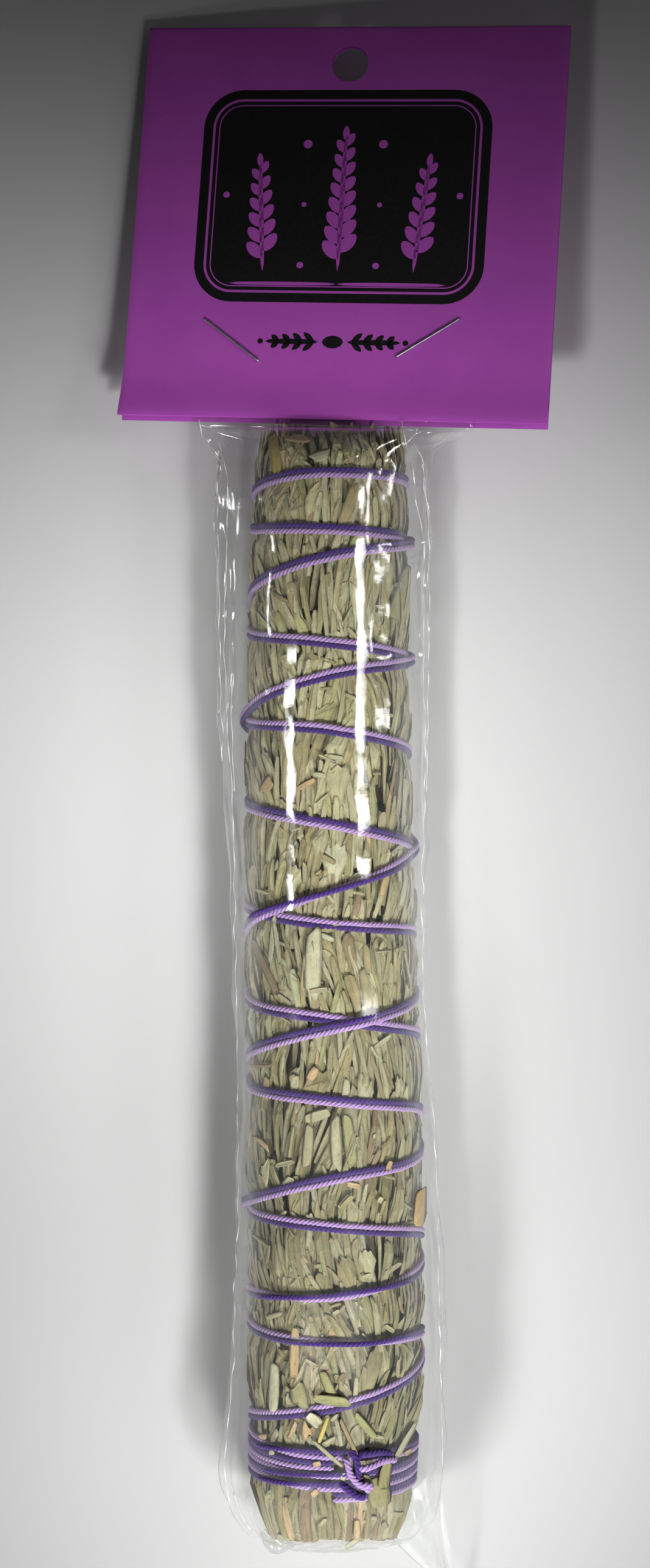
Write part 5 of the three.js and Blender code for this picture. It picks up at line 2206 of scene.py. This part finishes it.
class Studio:
    """The camera at the photograph's place, the floor and the lights.

    A lamp has its name, place, target, size, watts and the spread of its beam.
    """

    PHOTO_LONG_SIDE = 2576
    FOCAL_PIXELS = 4052
    CAMERA_HEIGHT = 450.0
    SENSOR = 36.0
    FLOOR_HALF = 1500.0
    FLOOR_HEIGHT = -0.2
    ROOM_LIGHT = 0.03
    LAMPS = (
        ("front_right", (162, -340, 400), (-40, -110, 0), (100, 100), 0.142, 40),
        ("middle_right", (150, -340, 520), (-35, 15, 0), (100, 100), 0.024, 14),
        ("front_left", (-162, -260, 260), (40, -110, 0), (100, 100), 0.0225, 18),
        ("middle_left", (-150, -340, 520), (35, 15, 0), (100, 100), 0.029, 14),
        ("right_window", (396, 76, 388), (0, -10, 0), (120, 126), 0.018, 26),
        ("left_window", (-420, 29, 330), (0, -10, 0), (70, 86), 0.0068, 26),
        ("right_top_window", (472, 139, 302), (6, 38, 24), (60, 46), 0.0015, 22),
        ("right_pane", (484, 72, 178), (0, 20, 20), (15, 120), 0.005, 44),
        ("right_edge_pane", (509, 70, 46), (0, 30, 26), (14, 150), 0.0026, 30),
        ("left_edge_pane", (-480, 92, 40), (0, 30, 24), (30, 40), 0.0013, 30),
        ("far_window", (297, 456, 488), (9, 52, 25), (50, 80), 0.0018, 18),
    )

    @staticmethod
    def _metres(place: Sequence[float]) -> Vector:
        """Returns a place on the stick in the part's frame."""
        return Vector((np.array(place) + STICK_TO_PART) * METRES_PER_MM)

    def camera(self) -> None:
        """Places the camera straight over the stick."""
        data = bpy.data.cameras.new("photo_camera")
        data.sensor_width = self.SENSOR
        data.lens = self.FOCAL_PIXELS / self.PHOTO_LONG_SIDE * self.SENSOR
        data.clip_start = 0.01
        data.clip_end = 20.0
        made = new_object("photo_camera", data)
        made.location = self._metres((0, 0, self.CAMERA_HEIGHT))
        bpy.context.scene.camera = made

    def floor(self) -> None:
        """Lays the pale floor just under the stick."""
        half, height = self.FLOOR_HALF * METRES_PER_MM, self.FLOOR_HEIGHT * METRES_PER_MM
        corners = [(x * half, y * half, height) for x, y in ((-1, -1), (1, -1), (1, 1), (-1, 1))]
        mesh = bpy.data.meshes.new("floor")
        mesh.from_pydata(corners, [], [(0, 1, 2, 3)])
        mesh.materials.append(PaleFloor().material())
        floor = new_object("floor", mesh)

    def lamp(self, name: str, place: Sequence[float], target: Sequence[float], size: Pair,
             watts: float, spread: float) -> None:
        """Hangs a rectangular white lamp.

        Args:
            name: Its name.
            place: Where it hangs, in stick millimetres.
            target: What it faces, in stick millimetres.
            size: Its sides, in millimetres.
            watts: Its power.
            spread: The width of its beam, in degrees.
        """
        data = bpy.data.lights.new(name, "AREA")
        data.shape = "RECTANGLE"
        data.size, data.size_y = (side * METRES_PER_MM for side in size)
        data.energy = watts
        data.spread = math.radians(spread)
        made = new_object(name, data)
        made.location = self._metres(place)
        way = self._metres(target) - made.location
        made.rotation_euler = way.to_track_quat("-Z", "Y").to_euler()

    def light(self) -> None:
        """Lights the stick from in front and above, with windows and panes that streak the film."""
        world = bpy.data.worlds.new("room")
        world.use_nodes = True
        background = world.node_tree.nodes["Background"].inputs
        background[0].default_value = (1.0, 1.0, 1.0, 1.0)
        background[1].default_value = self.ROOM_LIGHT
        bpy.context.scene.world = world
        for lamp in self.LAMPS:
            self.lamp(*lamp)

    def build(self) -> None:
        """Sets up the camera, floor, lights and the plain view of colours."""
        self.camera()
        self.floor()
        self.light()
        bpy.context.scene.view_settings.view_transform = "Standard"


def main() -> None:
    """Builds every sub-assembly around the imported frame."""
    logging.basicConfig(level=logging.INFO, format="%(message)s")
    Studio().build()
    shape = BundleShape()
    winding = Winding()
    card = CardPose()
    swell = Swell(winding)
    leaf = DryLeaf().material()
    LeafyBundle(shape, swell).build(leaf)
    Heart(shape, swell).build(DryHeart().material())
    LooseBits(shape, swell).build(leaf)
    thread = DoubledThread(shape, winding)
    dark = PliedCotton("dark_purple_cotton", srgb(72, 35, 130), srgb(104, 66, 162), srgb(36, 17, 76))
    thread.build(Strand.DARK, dark.material())
    light = PliedCotton("lilac_cotton", srgb(194, 158, 214), srgb(226, 206, 238), srgb(136, 100, 170))
    thread.build(Strand.LIGHT, light.material())
    ClearBag(shape, winding, card).build(ClearFilm().material())
    stock = PurpleCard().material()
    header = HeaderCard(card)
    header.build(stock)
    CardPrint(header).build(BlackPrint().material(), stock)
    wire = StapleWire().material()
    Staple(card, (-23.9, 18.15), (-13.6, 10.7)).build("staple_left", wire)
    Staple(card, (11.0, 11.9), (21.6, 18.8)).build("staple_right", wire)


if __name__ == "__main__":
    main()
